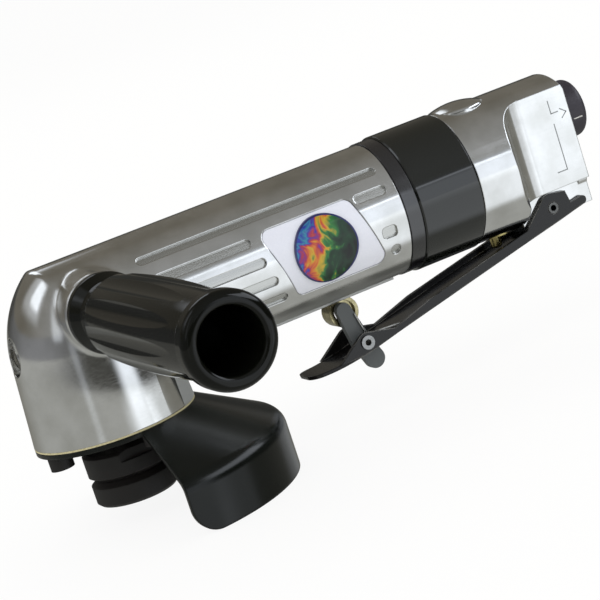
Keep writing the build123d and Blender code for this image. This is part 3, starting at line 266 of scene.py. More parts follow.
@dataclass(frozen=True)
class BuffedCasting(Finish):
    """Die-cast aluminium, buffed on a wheel: soft-edged mirror, with duller floors in its sunk grooves."""

    bright: str = "#e8e8e7"
    cloudy: str = "#d5d5d2"
    sunk: str = "#c9c9c5"
    rough: Pair = (0.09, 0.16)
    sunk_rough: float = 0.14
    cloud_mm: float = 11.0
    cloud_levels: Pair = (0.35, 0.7)
    # Buffing lines along the barrel, coarser than real ones so that they show.
    line_mm: float = 0.45
    line_long_mm: float = 16.0
    line_depth_mm: float = 0.02
    line_strength: float = 0.06
    # Radius of the soft edges, and the larger one round the handle's bosses.
    edge_mm: float = 0.55
    boss_axis_mm: Point = (1.7, 0.0, 58.2)
    boss_r_mm: float = 15.5
    boss_fade_mm: float = 5.0
    boss_edge_mm: float = 2.6
    # Floors of the grooves, by their distance from the barrel's axis and their place along it.
    groove_top_mm: float = 23.75
    groove_floor_mm: float = 23.3
    groove_start_mm: float = 19.0
    groove_end_mm: float = 115.0
    # Underside of the barrel, by its height.
    under_from_mm: float = 35.0
    under_full_mm: float = 30.5
    under_dull: float = 3.4
    # Slow waves and swell that buffing leaves on the head's wall.
    head_end_mm: float = 26.0
    head_full_mm: float = 12.0
    wave_mm: float = 30.0
    wave_depth_mm: float = 0.26
    swell_mid_mm: float = 32.5
    swell_half_mm: float = 20.0
    swell_mm: float = 0.6

    def shade(self, graph: Graph) -> Socket:
        """Write clouds of polish, fine buffing lines along the barrel, slow waves on the head and soft edges.

        Args:
            graph: The material's nodes.

        Returns:
            The shader.
        """
        clouds = graph.add("TexNoise", graph.place, per(self.cloud_mm), Detail=3.0)
        fine = per(self.line_mm)
        stretched = graph.add("Mapping", graph.place, Scale=(per(self.line_long_mm), fine, fine))
        lines = graph.add("TexNoise", stretched, Scale=1.0, Detail=2.0)
        dull = self.dullness(graph)
        cloudiness = graph.add("MapRange", clouds, *self.cloud_levels)
        polish = graph.add("Mix", cloudiness, self.bright, self.cloudy, data_type="RGBA")
        colour = graph.add("Mix", dull, polish, self.sunk, data_type="RGBA")
        buffed = graph.add("MapRange", lines, *NOISE_SPAN, *self.rough)
        rough = graph.add("Math", dull, self.sunk_rough, buffed, operation="MULTIPLY_ADD")
        soft_edge = graph.add("Bevel", self.rounding(graph), samples=8)
        slow = graph.add("Bump", Strength=1.0, Distance=self.swell_mm * MM, Height=self.swell(graph), Normal=soft_edge)
        relief = graph.add("Bump", Strength=self.line_strength, Distance=self.line_depth_mm * MM, Height=lines,
                           Normal=slow)
        return graph.add("BsdfPrincipled", Metallic=1.0, Base_Color=colour, Roughness=rough, Normal=relief)

    def swell(self, graph: Graph) -> Socket:
        """Slow waves and one swell half way up the head's wall, gone where the barrel starts.

        Args:
            graph: The material's nodes.

        Returns:
            A socket with the height, in shares of the swell.
        """
        waves = graph.add("TexNoise", graph.place, per(self.wave_mm), Detail=1.0)
        along, height = (graph.add("SeparateXYZ", graph.place, out=axis) for axis in "XZ")
        on_head = graph.add("MapRange", along, self.head_end_mm * MM, self.head_full_mm * MM)
        above = graph.add("Math", height, self.swell_mid_mm * MM, operation="SUBTRACT")
        off = graph.add("Math", above, operation="ABSOLUTE")
        swell = graph.add("MapRange", off, self.swell_half_mm * MM, 0.0, interpolation_type="SMOOTHSTEP")
        wave_share = self.wave_depth_mm / self.swell_mm
        uneven = graph.add("Math", waves, wave_share, swell, operation="MULTIPLY_ADD")
        return graph.add("Math", uneven, on_head, operation="MULTIPLY")

    def rounding(self, graph: Graph) -> Socket:
        """Radius of the soft edges, larger where the handle's bosses run out into the head.

        Args:
            graph: The material's nodes.

        Returns:
            A socket with the radius in metres.
        """
        _, away = graph.off_axis(self.boss_axis_mm, (1.0, 0.0, 1.0))
        return graph.add("MapRange", away, self.boss_r_mm * MM, (self.boss_r_mm + self.boss_fade_mm) * MM,
                         self.boss_edge_mm * MM, self.edge_mm * MM)

    def dullness(self, graph: Graph) -> Socket:
        """Mask of the floors sunk under the barrel's round surface, and of its underside that is left as cast.

        Args:
            graph: The material's nodes.

        Returns:
            A socket that is 0 on the polished surface, 1 on a groove's floor and more on the underside.
        """
        _, radius = graph.off_axis(BARREL_AXIS_MM, (0.0, 1.0, 1.0))
        sunk = graph.add("MapRange", radius, self.groove_top_mm * MM, self.groove_floor_mm * MM)
        along, height = (graph.add("SeparateXYZ", graph.place, out=axis) for axis in "XZ")
        behind = graph.add("Math", along, self.groove_start_mm * MM, operation="GREATER_THAN")
        before = graph.add("Math", along, self.groove_end_mm * MM, operation="LESS_THAN")
        between = graph.add("Math", behind, before, operation="MULTIPLY")
        under = graph.add("MapRange", height, self.under_from_mm * MM, self.under_full_mm * MM)
        dull = graph.add("Math", under, self.under_dull, sunk, operation="MULTIPLY_ADD")
        return graph.add("Math", dull, between, operation="MULTIPLY")


@dataclass(frozen=True)
class TurnedMetal(Finish):
    """Bare metal off the lathe or grinder: fine marks round its own axis catch the light as hairlines."""

    bright: str = "#c9c8c5"
    dark: str = "#a9a7a3"
    turn: Turn = Turn.NONE
    mark_mm: float = 0.35  # coarser than real marks, so that they show
    mark_depth_mm: float = 0.015
    mark_strength: float = 0.25
    rough: Pair = (0.18, 0.34)
    edge_mm: float = 0.2

    def shade(self, graph: Graph) -> Socket:
        """Write tool marks as noise over the distance along and from the turning axis.

        Args:
            graph: The material's nodes.

        Returns:
            The shader.
        """
        marks = graph.add("TexNoise", self.pattern(graph), per(self.mark_mm), Detail=3.0)
        share = graph.add("MapRange", marks, *NOISE_SPAN)
        colour = graph.add("Mix", share, self.bright, self.dark, data_type="RGBA")
        rough = graph.add("MapRange", marks, *NOISE_SPAN, *self.rough)
        soft_edge = graph.add("Bevel", self.edge_mm * MM, samples=4)
        relief = graph.add("Bump", Strength=self.mark_strength, Distance=self.mark_depth_mm * MM, Height=marks,
                           Normal=soft_edge)
        return graph.add("BsdfPrincipled", Metallic=1.0, Base_Color=colour, Roughness=rough, Normal=relief)

    def pattern(self, graph: Graph) -> Socket:
        """Coordinates that stay the same round the turning axis.

        Args:
            graph: The material's nodes.

        Returns:
            A vector of the distances along and from the axis, or the place itself where nothing turned.
        """
        if self.turn is Turn.NONE:
            return graph.place
        lengthwise = self.turn is Turn.BARREL
        centre_mm = BARREL_AXIS_MM if lengthwise else (0.0, 0.0, 0.0)
        across = (0.0, 1.0, 1.0) if lengthwise else (1.0, 1.0, 0.0)
        centred, radius = graph.off_axis(centre_mm, across)
        along = graph.add("SeparateXYZ", centred, out="X" if lengthwise else "Z")
        return graph.add("CombineXYZ", along, radius)


@dataclass(frozen=True)
class BlackCoat(Finish):
    """Black coat on steel, sprayed or chemical: peel or grain in the coat, and bright bare edges, rubbed wear and
    partly painted highlight.
    """

    coat: str = "#0b0d0c"
    thin: str = "#131614"
    bare: str = "#77756f"
    peel_mm: float = 0.9
    peel_depth_mm: float = 0.012
    peel_strength: float = 0.3
    haze_mm: float = 14.0
    rough: Pair = (0.26, 0.36)
    edge_mm: float = 0.5
    # Share of the edge mask shown as bare metal; at 1.0 with large patches the bright edges are partly painted
    # highlight.
    wear: float = 0.5
    wear_patch_mm: float = 2.2
    ior: float = 1.52

    def shade(self, graph: Graph) -> Socket:
        """Write the coat's peel and haze, its soft edges, and bare metal on rubbed edges that is partly painted
        highlight.

        Args:
            graph: The material's nodes.

        Returns:
            The shader.
        """
        peel = graph.add("TexNoise", graph.place, per(self.peel_mm), Detail=2.0)
        haze = graph.add("TexNoise", graph.place, per(self.haze_mm), Detail=4.0)
        wear_and_glint = graph.add("Math", graph.edge_mask(self.edge_mm, self.wear_patch_mm), self.wear, operation="MULTIPLY")
        coat = graph.add("Mix", haze, self.coat, self.thin, data_type="RGBA")
        colour = graph.add("Mix", wear_and_glint, coat, self.bare, data_type="RGBA")
        rough = graph.add("MapRange", haze, *NOISE_SPAN, *self.rough)
        soft_edge = graph.add("Bevel", self.edge_mm * MM, samples=6)
        relief = graph.add("Bump", Strength=self.peel_strength, Distance=self.peel_depth_mm * MM, Height=peel,
                           Normal=soft_edge)
        return graph.add("BsdfPrincipled", IOR=self.ior, Base_Color=colour, Metallic=wear_and_glint, Roughness=rough,
                         Normal=relief)


@dataclass(frozen=True)
class MouldedPlastic(Finish):
    """Plastic or rubber out of a mould: its own colour right through, with the mould's grain and slow waves."""

    colour: str = "#0a0c0c"
    faded: str = "#121415"
    grain_mm: float = 0.4
    grain_depth_mm: float = 0.004
    wave_mm: float = 7.0
    wave_depth_mm: float = 0.02
    relief_strength: float = 0.3
    hand_mm: float = 18.0
    rough: Pair = (0.07, 0.13)
    edge_mm: float = 0.3
    ior: float = 1.6

    def shade(self, graph: Graph) -> Socket:
        """Write the mould's grain over slow waves, and patches handled duller.

        Args:
            graph: The material's nodes.

        Returns:
            The shader.
        """
        grain = graph.add("TexNoise", graph.place, per(self.grain_mm), Detail=3.0)
        waves = graph.add("TexNoise", graph.place, per(self.wave_mm), Detail=1.0)
        hands = graph.add("TexNoise", graph.place, per(self.hand_mm), Detail=5.0)
        colour = graph.add("Mix", hands, self.colour, self.faded, data_type="RGBA")
        rough = graph.add("MapRange", hands, *NOISE_SPAN, *self.rough)
        normal = graph.add("Bevel", self.edge_mm * MM, samples=4)
        for height, depth_mm in ((waves, self.wave_depth_mm), (grain, self.grain_depth_mm)):
            normal = graph.add("Bump", Strength=self.relief_strength, Distance=depth_mm * MM, Height=height,
                               Normal=normal)
        return graph.add("BsdfPrincipled", IOR=self.ior, Base_Color=colour, Roughness=rough, Normal=normal)


@dataclass(frozen=True)
class PearlFilm(Finish):
    """Printed polyester film: pale pearl flake under a clear face, with painted shade in a thin grey line along its
    edge.
    """

    pale: str = "#eceef8"
    flake: str = "#dfe3f0"
    # Painted shade: a grey line along the film's edge, where it meets its pocket; how wide it reaches and how large
    # its patches are.
    edge_shade: str = "#9a9ca6"
    flake_mm: float = 0.5  # coarser than real flake, so that it shows
    edge_shade_mm: float = 0.45
    edge_shade_patch_mm: float = 40.0
    rough: Pair = (0.24, 0.36)

    def shade(self, graph: Graph) -> Socket:
        """Write the pearl flake and the painted shade along the edge.

        Args:
            graph: The material's nodes.

        Returns:
            The shader.
        """
        flakes = graph.add("TexNoise", graph.place, per(self.flake_mm), Detail=2.0)
        pearl = graph.add("Mix", flakes, self.pale, self.flake, data_type="RGBA")
        # Painted shade along the film's edge, where it meets its pocket.
        cut = graph.edge_mask(self.edge_shade_mm, self.edge_shade_patch_mm)
        colour = graph.add("Mix", cut, pearl, self.edge_shade, data_type="RGBA")
        rough = graph.add("MapRange", flakes, 0.0, 1.0, *self.rough)
        return graph.add("BsdfPrincipled", IOR=1.57, Coat_Weight=0.4, Coat_Roughness=0.12, Base_Color=colour,
                         Roughness=rough)


@dataclass(frozen=True)
class OilSlickFoil(Finish):
    """Metallised foil under clear resin: bands of interference colour, like oil on water, with a dark rim."""

    centre_mm: Point = (83.0, 0.0, 49.8)
    radius_mm: float = 11.8
    rim: str = "#1b1f5e"
    rim_span: Pair = (0.945, 0.96)  # of the radius
    swirl_mm: float = 9.0
    swirl_span: Pair = (-0.24, 0.24)
    # Place in the bands at the disc's middle, and its change to the disc's right and top.
    band_middle: float = 0.52
    band_right: float = 0.46
    band_top: float = -0.14
    bands: Stops = ((0.0, "#1f2f9c"), (1.0, "#060d09"), (0.12, "#2f86a0"), (0.2, "#3b2f9c"), (0.29, "#a82842"),
                    (0.37, "#d06a26"), (0.44, "#c9a52c"), (0.53, "#2f7a36"), (0.68, "#10391f"))
    rough: Pair = (0.3, 0.45)

    def shade(self, graph: Graph) -> Socket:
        """Write swirled bands that run from bright to dark across the disc, and its rim.

        Args:
            graph: The material's nodes.

        Returns:
            The shader.
        """
        centred = graph.add("Mapping", graph.place, Location=tuple(-v / self.radius_mm for v in self.centre_mm),
                            Scale=(per(self.radius_mm),) * 3)
        flat = graph.add("VectorMath", centred, (1.0, 0.0, 1.0), operation="MULTIPLY")
        swirl = graph.add("TexNoise", flat, self.radius_mm / self.swirl_mm, Detail=3.0, Distortion=1.6)
        right, top = (graph.add("SeparateXYZ", flat, out=axis) for axis in "XZ")
        drift = graph.add("Math", right, self.band_right, self.band_middle, operation="MULTIPLY_ADD")
        fall = graph.add("Math", top, self.band_top, drift, operation="MULTIPLY_ADD")
        spread = graph.add("MapRange", swirl, *NOISE_SPAN, *self.swirl_span)
        band = graph.add("Math", spread, fall, operation="ADD")
        hue = graph.add("ValToRGB", band, stops=self.bands)
        radius = graph.add("VectorMath", flat, operation="LENGTH")
        rim = graph.add("MapRange", radius, *self.rim_span)
        colour = graph.add("Mix", rim, hue, self.rim, data_type="RGBA")
        rough = graph.add("MapRange", swirl, 0.0, 1.0, *self.rough)
        return graph.add("BsdfPrincipled", Metallic=0.4, Coat_Weight=0.5, Coat_Roughness=0.04, Base_Color=colour,
                         Roughness=rough)


@dataclass(frozen=True)
class MattedFibre(Finish):
    """Pressed fibre, as gasket card or wool felt: crossing fibres, dry and without gloss."""

    pale: str = "#cfc8a4"
    dark: str = "#aca47e"
    fibre_mm: float = 0.5  # coarser than real fibres, so that they show
    fibre_long_mm: float = 3.0
    fibre_levels: Pair = (0.4, 0.75)
    fuzz_depth_mm: float = 0.1

    def shade(self, graph: Graph) -> Socket:
        """Write two crossing sets of fibres and their fuzz.

        Args:
            graph: The material's nodes.

        Returns:
            The shader.
        """
        fine, coarse = per(self.fibre_mm), per(self.fibre_long_mm)
        stretched = (graph.add("Mapping", graph.place, Scale=scale)
                     for scale in ((coarse, fine, fine), (fine, coarse, fine)))
        sets = [graph.add("TexNoise", way, Scale=1.0, Detail=3.0) for way in stretched]
        fibres = graph.add("Math", *sets, operation="MAXIMUM")
        share = graph.add("MapRange", fibres, *self.fibre_levels)
        colour = graph.add("Mix", share, self.dark, self.pale, data_type="RGBA")
        relief = graph.add("Bump", Strength=0.6, Distance=self.fuzz_depth_mm * MM, Height=fibres)
        return graph.add("BsdfPrincipled", Roughness=0.92, Specular_IOR_Level=0.2, Base_Color=colour, Normal=relief)


@dataclass(frozen=True)
class WovenWire(Finish):
    """Stainless wire cloth: bright wires over and under, with painted shade as dark colour in the gaps between them.
    """

    wire: str = "#b9b7b0"
    # Painted shade: the dark colour in the gaps stands for the dark seen through the openings.
    gap: str = "#1c1b19"
    pitch_mm: float = 0.9  # coarser than real cloth, so that it shows
    wire_levels: Pair = (0.45, 0.7)
    wire_depth_mm: float = 0.2

    def shade(self, graph: Graph) -> Socket:
        """Write two crossing sets of round wires, with painted shade in the gaps between them.

        Args:
            graph: The material's nodes.

        Returns:
            The shader.
        """
        scale = per(self.pitch_mm) / WAVE_PHASE * math.tau
        sets = [graph.add("TexWave", graph.place, scale, bands_direction=way, out="Fac") for way in "YZ"]
        cloth = graph.add("Math", *sets, operation="MAXIMUM")
        share = graph.add("MapRange", cloth, *self.wire_levels)
        colour = graph.add("Mix", share, self.gap, self.wire, data_type="RGBA")
        relief = graph.add("Bump", Strength=0.8, Distance=self.wire_depth_mm * MM, Height=cloth)
        return graph.add("BsdfPrincipled", Roughness=0.32, Base_Color=colour, Metallic=share, Normal=relief)


@dataclass(frozen=True)
class LayeredLaminate(Finish):
    """Cloth pressed in phenolic resin: brown plies that show as thin lines on each cut edge."""

    ply: str = "#6a4526"
    resin: str = "#4c2f19"
    ply_mm: float = 0.4
    weave_mm: float = 0.6
    rough: Pair = (0.35, 0.55)

    def shade(self, graph: Graph) -> Socket:
        """Write the plies and the weave that shows through the resin.

        Args:
            graph: The material's nodes.

        Returns:
            The shader.
        """
        scale = per(self.ply_mm) / WAVE_PHASE * math.tau
        plies = graph.add("TexWave", graph.place, scale, Distortion=1.5, bands_direction="DIAGONAL", out="Fac")
        weave = graph.add("TexNoise", graph.place, per(self.weave_mm), Detail=2.0)
        share = graph.add("Math", plies, weave, operation="MULTIPLY")
        colour = graph.add("Mix", share, self.resin, self.ply, data_type="RGBA")
        rough = graph.add("MapRange", weave, 0.0, 1.0, *self.rough)
        return graph.add("BsdfPrincipled", IOR=1.6, Base_Color=colour, Roughness=rough)


def deselect() -> None:
    """Leave edit mode and deselect every object."""
    if bpy.context.object and bpy.context.object.mode != "OBJECT":
        bpy.ops.object.mode_set(mode="OBJECT")
    bpy.ops.object.select_all(action="DESELECT")


def pick_edges(piece: Piece, wanted: Callable[[Vector], bool]) -> None:
    """Select a piece's edges by their middle, and leave it in edit mode.

    Args:
        piece: The active object, in edit mode.
        wanted: Test of an edge's middle.
    """
    bpy.ops.mesh.select_mode(type="EDGE")
    bpy.ops.mesh.select_all(action="DESELECT")
    bpy.ops.object.mode_set(mode="OBJECT")
    vertices = piece.data.vertices
    for edge in piece.data.edges:
        first, last = (vertices[index].co for index in edge.vertices)
        edge.select = wanted((first + last) / 2)
    bpy.ops.object.mode_set(mode="EDIT")


def settle(piece: Piece, place: Matrix) -> None:
    """Put a finished piece in its place and move that place into its mesh.

    Args:
        piece: The piece, modelled at the origin.
        place: Where it goes, in metres.
    """
    deselect()
    piece.matrix_world = place
    piece.select_set(True)
    bpy.context.view_layer.objects.active = piece
    bpy.ops.object.transform_apply(location=True, rotation=True, scale=True)


def lying(middle: Vector, along: Vector, outward: Vector) -> Matrix:
    """Return the place of a strip by its middle in metres, with X along it and Z out of the surface."""
    return Matrix.Translation(middle) @ Matrix((along, outward.cross(along), outward)).transposed().to_4x4()


def wear_finish(piece: Piece, finish: Finish) -> None:
    """Give a piece one finish all over."""
    piece.data.materials.clear()
    piece.data.materials.append(finish.material())


@dataclass
class InlaidBar:
    """One thin filled line cut in a surface: a strip with rounded long edges, just proud of it."""

    name: str
    long_mm: float
    wide_mm: float
    proud_mm: float = 0.06
    sunk_mm: float = 0.12
    rounded_share: float = 0.8

    def build(self, place: Matrix) -> Piece:
        """Model the strip lying along X with its top up, and put it in place.

        Args:
            place: The strip's place, its Z out of the surface.

        Returns:
            The strip.
        """
        deselect()
        bpy.ops.mesh.primitive_plane_add(size=1.0)
        strip = bpy.context.object
        strip.name = self.name
        bpy.ops.object.mode_set(mode="EDIT")
        bpy.ops.transform.resize(value=(self.long_mm * MM, self.wide_mm * MM, 1.0))
        bpy.ops.transform.translate(value=(0.0, 0.0, -self.sunk_mm * MM))
        bpy.ops.mesh.extrude_region_move(
            TRANSFORM_OT_translate={"value": (0.0, 0.0, (self.sunk_mm + self.proud_mm) * MM)})
        pick_edges(strip, lambda middle: middle.z > 0.0)
        bpy.ops.mesh.bevel(offset=self.proud_mm * MM * self.rounded_share, segments=2)
        bpy.ops.mesh.select_all(action="SELECT")
        bpy.ops.mesh.normals_make_consistent(inside=False)
        settle(strip, place)
        return strip


def join(name: str, pieces: list[Piece]) -> Piece:
    """Join pieces into one.

    Args:
        name: Name of the joined piece.
        pieces: The pieces.

    Returns:
        The joined piece.
    """
    deselect()
    for piece in pieces:
        piece.select_set(True)
    bpy.context.view_layer.objects.active = pieces[0]
    bpy.ops.object.join()
    pieces[0].name = name
    return pieces[0]


@dataclass
class FlatMarks:
    """Thin filled lines cut in the near flat of the valve housing, beside the regulator knob."""

    flat_y_mm: float = -14.0
    wide_mm: float = 0.4
    overlap: float = 0.8  # of a line's width, so that lines that meet close their corner
    lines: tuple[tuple[Pair, Pair], ...] = (
        ((183.4, 67.6), (183.4, 62.9)), ((183.4, 62.9), (186.2, 62.9)),
        ((187.2, 63.6), (189.4, 61.9)), ((189.4, 61.9), (187.2, 60.2)),
        ((183.4, 59.0), (183.4, 42.2)), ((183.4, 42.2), (179.4, 42.2)))
    # Matt grey paint.
    finish: Finish = BlackCoat("grey_filled_line", coat="#8f9396", thin="#a3a7aa", wear=0.0, rough=(0.45, 0.6))

    def build(self) -> Piece:
        """Model each line between its two ends on the flat.

        Returns:
            The lines as one piece, riding on the body.
        """
        outward = Vector((0.0, -1.0, 0.0))
        strips = []
        for index, ends in enumerate(self.lines):
            first, last = (Vector((x, self.flat_y_mm, z)) * MM for x, z in ends)
            length_mm = (last - first).length / MM + self.overlap * self.wide_mm
            bar = InlaidBar(f"flat_mark_{index}", length_mm, self.wide_mm)
            strips.append(bar.build(lying((first + last) / 2, (last - first).normalized(), outward)))
        marks = join("flat_marks", strips)
        wear_finish(marks, self.finish)
        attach(marks, "body")
        return marks


@dataclass
class KnobIndex:
    """White line along the regulator knob that shows how far it is turned."""

    axis_z_mm: float = 60.4
    knob_r_mm: float = 10.6
    angle_deg: float = 105.9
    start_x_mm: float = 193.6
    long_mm: float = 3.6
    wide_mm: float = 0.45
    # Half-matt white paint.
    finish: Finish = MouldedPlastic("white_filled_line", colour="#dcdcd8", faded="#d0d0cb", rough=(0.35, 0.5), ior=1.5)

    def build(self) -> Piece:
        """Model the line on the knob's round side.

        Returns:
            The line, riding on the regulator.
        """
        turn = math.radians(self.angle_deg)
        outward = Vector((0.0, -math.sin(turn), math.cos(turn)))
        on_axis = Vector((self.start_x_mm + self.long_mm / 2, 0.0, self.axis_z_mm))
        place = lying((on_axis + outward * self.knob_r_mm) * MM, Vector((1.0, 0.0, 0.0)), outward)
        line = InlaidBar("knob_index", self.long_mm, self.wide_mm).build(place)
        wear_finish(line, self.finish)
        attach(line, "regulator")
        return line


def wind(name: str, section: tuple[Pair, ...], pitch_mm: float, turns: int, steps: int) -> Piece:
    """Wind a closed section round Z with a Screw modifier, and close its two ends.

    Args:
        name: The piece's name.
        section: The section's corners, each by its distance from Z and its height, in mm.
        pitch_mm: Rise per turn.
        turns: How many turns.
        steps: Steps per turn.

    Returns:
        The wound piece, at the origin.
    """
    deselect()
    bpy.ops.mesh.primitive_circle_add(vertices=len(section), radius=MM)
    piece = bpy.context.object
    piece.name = name
    for vertex, (out, up) in zip(piece.data.vertices, section):
        vertex.co = (out * MM, 0.0, up * MM)
    winding = piece.modifiers.new("winding", "SCREW")
    winding.axis, winding.angle = "Z", math.tau
    winding.screw_offset = pitch_mm * MM
    winding.iterations = turns
    winding.steps = winding.render_steps = steps
    winding.use_normal_calculate = True
    bpy.ops.object.modifier_apply(modifier=winding.name)
    bpy.ops.object.mode_set(mode="EDIT")
    bpy.ops.mesh.select_all(action="SELECT")
    bpy.ops.mesh.remove_doubles(threshold=WELD_MM * MM)
    bpy.ops.mesh.select_all(action="DESELECT")
    bpy.ops.mesh.select_non_manifold(extend=False)
    bpy.ops.mesh.fill_holes(sides=0)
    bpy.ops.mesh.select_all(action="SELECT")
    bpy.ops.mesh.normals_make_consistent(inside=False)
    deselect()
    return piece


@dataclass
class ThreadLining:
    """Tapped thread in a hole's wall: one ridge that winds down the bore."""

    name: str
    mouth_mm: Point
    inward: Point
    bore_r_mm: float
    deep_mm: float
    pitch_mm: float
    high_mm: float = 0.55
    bedded_mm: float = 0.06
    half_foot: float = 0.46  # of the pitch, so that a gap stays between two turns
    fewest_turns: int = 2
    steps: int = 40
    smooth_deg: float = 35.0

    def build(self, finish: Finish) -> Piece:
        """Model the ridge from a three-cornered section, and lay it in its hole.

        Args:
            finish: The metal of the wall.

        Returns:
            The ridge, riding on the body.
        """
        base, crest = self.bore_r_mm + self.bedded_mm, self.bore_r_mm - self.high_mm
        half = self.pitch_mm * self.half_foot
        turns = max(self.fewest_turns, int((self.deep_mm - self.pitch_mm) / self.pitch_mm))
        ridge = wind(self.name, ((crest, half), (base, 0.0), (base, 2 * half)), self.pitch_mm, turns, self.steps)
        way = Vector((0.0, 0.0, 1.0)).rotation_difference(Vector(self.inward)).to_matrix().to_4x4()
        settle(ridge, Matrix.Translation(Vector(self.mouth_mm) * MM) @ way)
        bpy.ops.object.shade_smooth_by_angle(angle=math.radians(self.smooth_deg))
        wear_finish(ridge, finish)
        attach(ridge, "body")
        return ridge


@dataclass
class ValveCoil:
    """Return spring of the valve that gives: its foot goes with the poppet and its head stays in the housing."""

    node: str = "valve_spring"
    wire_r_mm: float = 0.45
    wire_sides: int = 12
    turns: int = 5
    steps: int = 28
    smooth_deg: float = 40.0
    rigid_share: float = 0.1

    def build(self, finish: Finish) -> Piece:
        """Wind the wire in the space of the CAD spring, which it stands for.

        Args:
            finish: The wire's steel.

        Returns:
            The coil, blended from the valve to the body.
        """
        low, high = (Vector(corner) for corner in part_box(self.node))
        tall = high.z - low.z
        coil_r_mm = (high.x - low.x) / 2 / MM - self.wire_r_mm
        angles = (math.tau * index / self.wire_sides for index in range(self.wire_sides))
        section = tuple((coil_r_mm + self.wire_r_mm * math.cos(angle), self.wire_r_mm * (1.0 + math.sin(angle)))
                        for angle in angles)
        coil = wind("valve_coil", section, (tall / MM - 2 * self.wire_r_mm) / self.turns, self.turns, self.steps)
        middle = (low + high) / 2
        settle(coil, Matrix.Translation((middle.x, middle.y, low.z)))
        bpy.ops.object.shade_smooth_by_angle(angle=math.radians(self.smooth_deg))
        wear_finish(coil, finish)
        foot, head = (middle.copy() for _ in range(2))
        foot.z, head.z = low.z + self.rigid_share * tall, high.z - self.rigid_share * tall
        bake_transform(coil, "valve", "body", start=tuple(foot), end=tuple(head))
        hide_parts(self.node)
        return coil


@dataclass(frozen=True)
class RoomSide:
    """Side of the room that gloss shows: pale to dim by direction, above or below an edge that may lean."""

    pale: str
    dim: str
    dimming: tuple[tuple[Point, Pair], ...]  # ways, each with the shares along it that are pale and dim
    upward: Point = (0.0, 0.0, 1.0)
    edge: Pair = (-3.0, -2.0)  # shares of upward where the side starts and is full, here under them all

    def paint(self, graph: Graph, rest: Socket | str) -> Socket:
        """Paint the side over the rest of the room.

        Args:
            graph: The world's nodes.
            rest: Colour of the room without this side.

        Returns:
            The colour with this side.
        """
        share = 1.0
        for towards, span in self.dimming:
            along = graph.add("VectorMath", graph.place, towards, operation="DOT_PRODUCT")
            dim = graph.add("MapRange", along, *span)
            share = graph.add("Math", dim, share, operation="MULTIPLY")
        own = graph.add("Mix", share, self.pale, self.dim, data_type="RGBA")
        height = graph.add("VectorMath", graph.place, self.upward, operation="DOT_PRODUCT")
        past = graph.add("MapRange", height, *self.edge)
        return graph.add("Mix", past, rest, own, data_type="RGBA")


@dataclass(frozen=True)
class Panel:
    """Soft-edged light panel of the studio that gloss shows, by its middle, half sizes and level.

    Bearings are in degrees, to the right of the near side, and heights in degrees over the horizon.
    """

    bearing: float
    height: float
    half_wide: float
    half_high: float
    soft: float
    level: float

    def add_to(self, graph: Graph, bearing: Socket, height: Socket, light: Socket | float) -> Socket:
        """Add the panel's light to what is there.

        Args:
            graph: The world's nodes.
            bearing: The direction's bearing, in radians.
            height: The direction's height, in radians.
            light: Light of the panels before this one.

        Returns:
            The light with this panel.
        """
        shares = []
        for angle, middle, half in ((bearing, self.bearing, self.half_wide), (height, self.height, self.half_high)):
            away = graph.add("Math", angle, math.radians(middle), operation="SUBTRACT")
            off = graph.add("Math", away, operation="ABSOLUTE")
            shares.append(graph.add("MapRange", off, math.radians(half + self.soft), math.radians(half),
                                    interpolation_type="SMOOTHSTEP"))
        shown = graph.add("Math", *shares, operation="MULTIPLY")
        return graph.add("Math", shown, self.level, light, operation="MULTIPLY_ADD")


@dataclass(frozen=True)
class Lamp:
    """Square soft lamp that faces the object and doesn't show in gloss."""

    name: str
    place_m: Point
    power: float
    size_m: float = 1.4
    aim_m: Point = (0.08, 0.0, 0.05)

    def hang(self) -> None:
        """Hang the lamp in its place."""
        data = bpy.data.lights.new(self.name, "AREA")
        data.shape, data.size, data.energy = "SQUARE", self.size_m, self.power
        lamp = bpy.data.objects.new(self.name, data)
        bpy.context.scene.collection.objects.link(lamp)
        aim = Vector(self.aim_m) - Vector(self.place_m)
        lamp.matrix_world = Matrix.Translation(self.place_m) @ aim.to_track_quat("-Z", "Y").to_matrix().to_4x4()
        lamp.visible_glossy = False


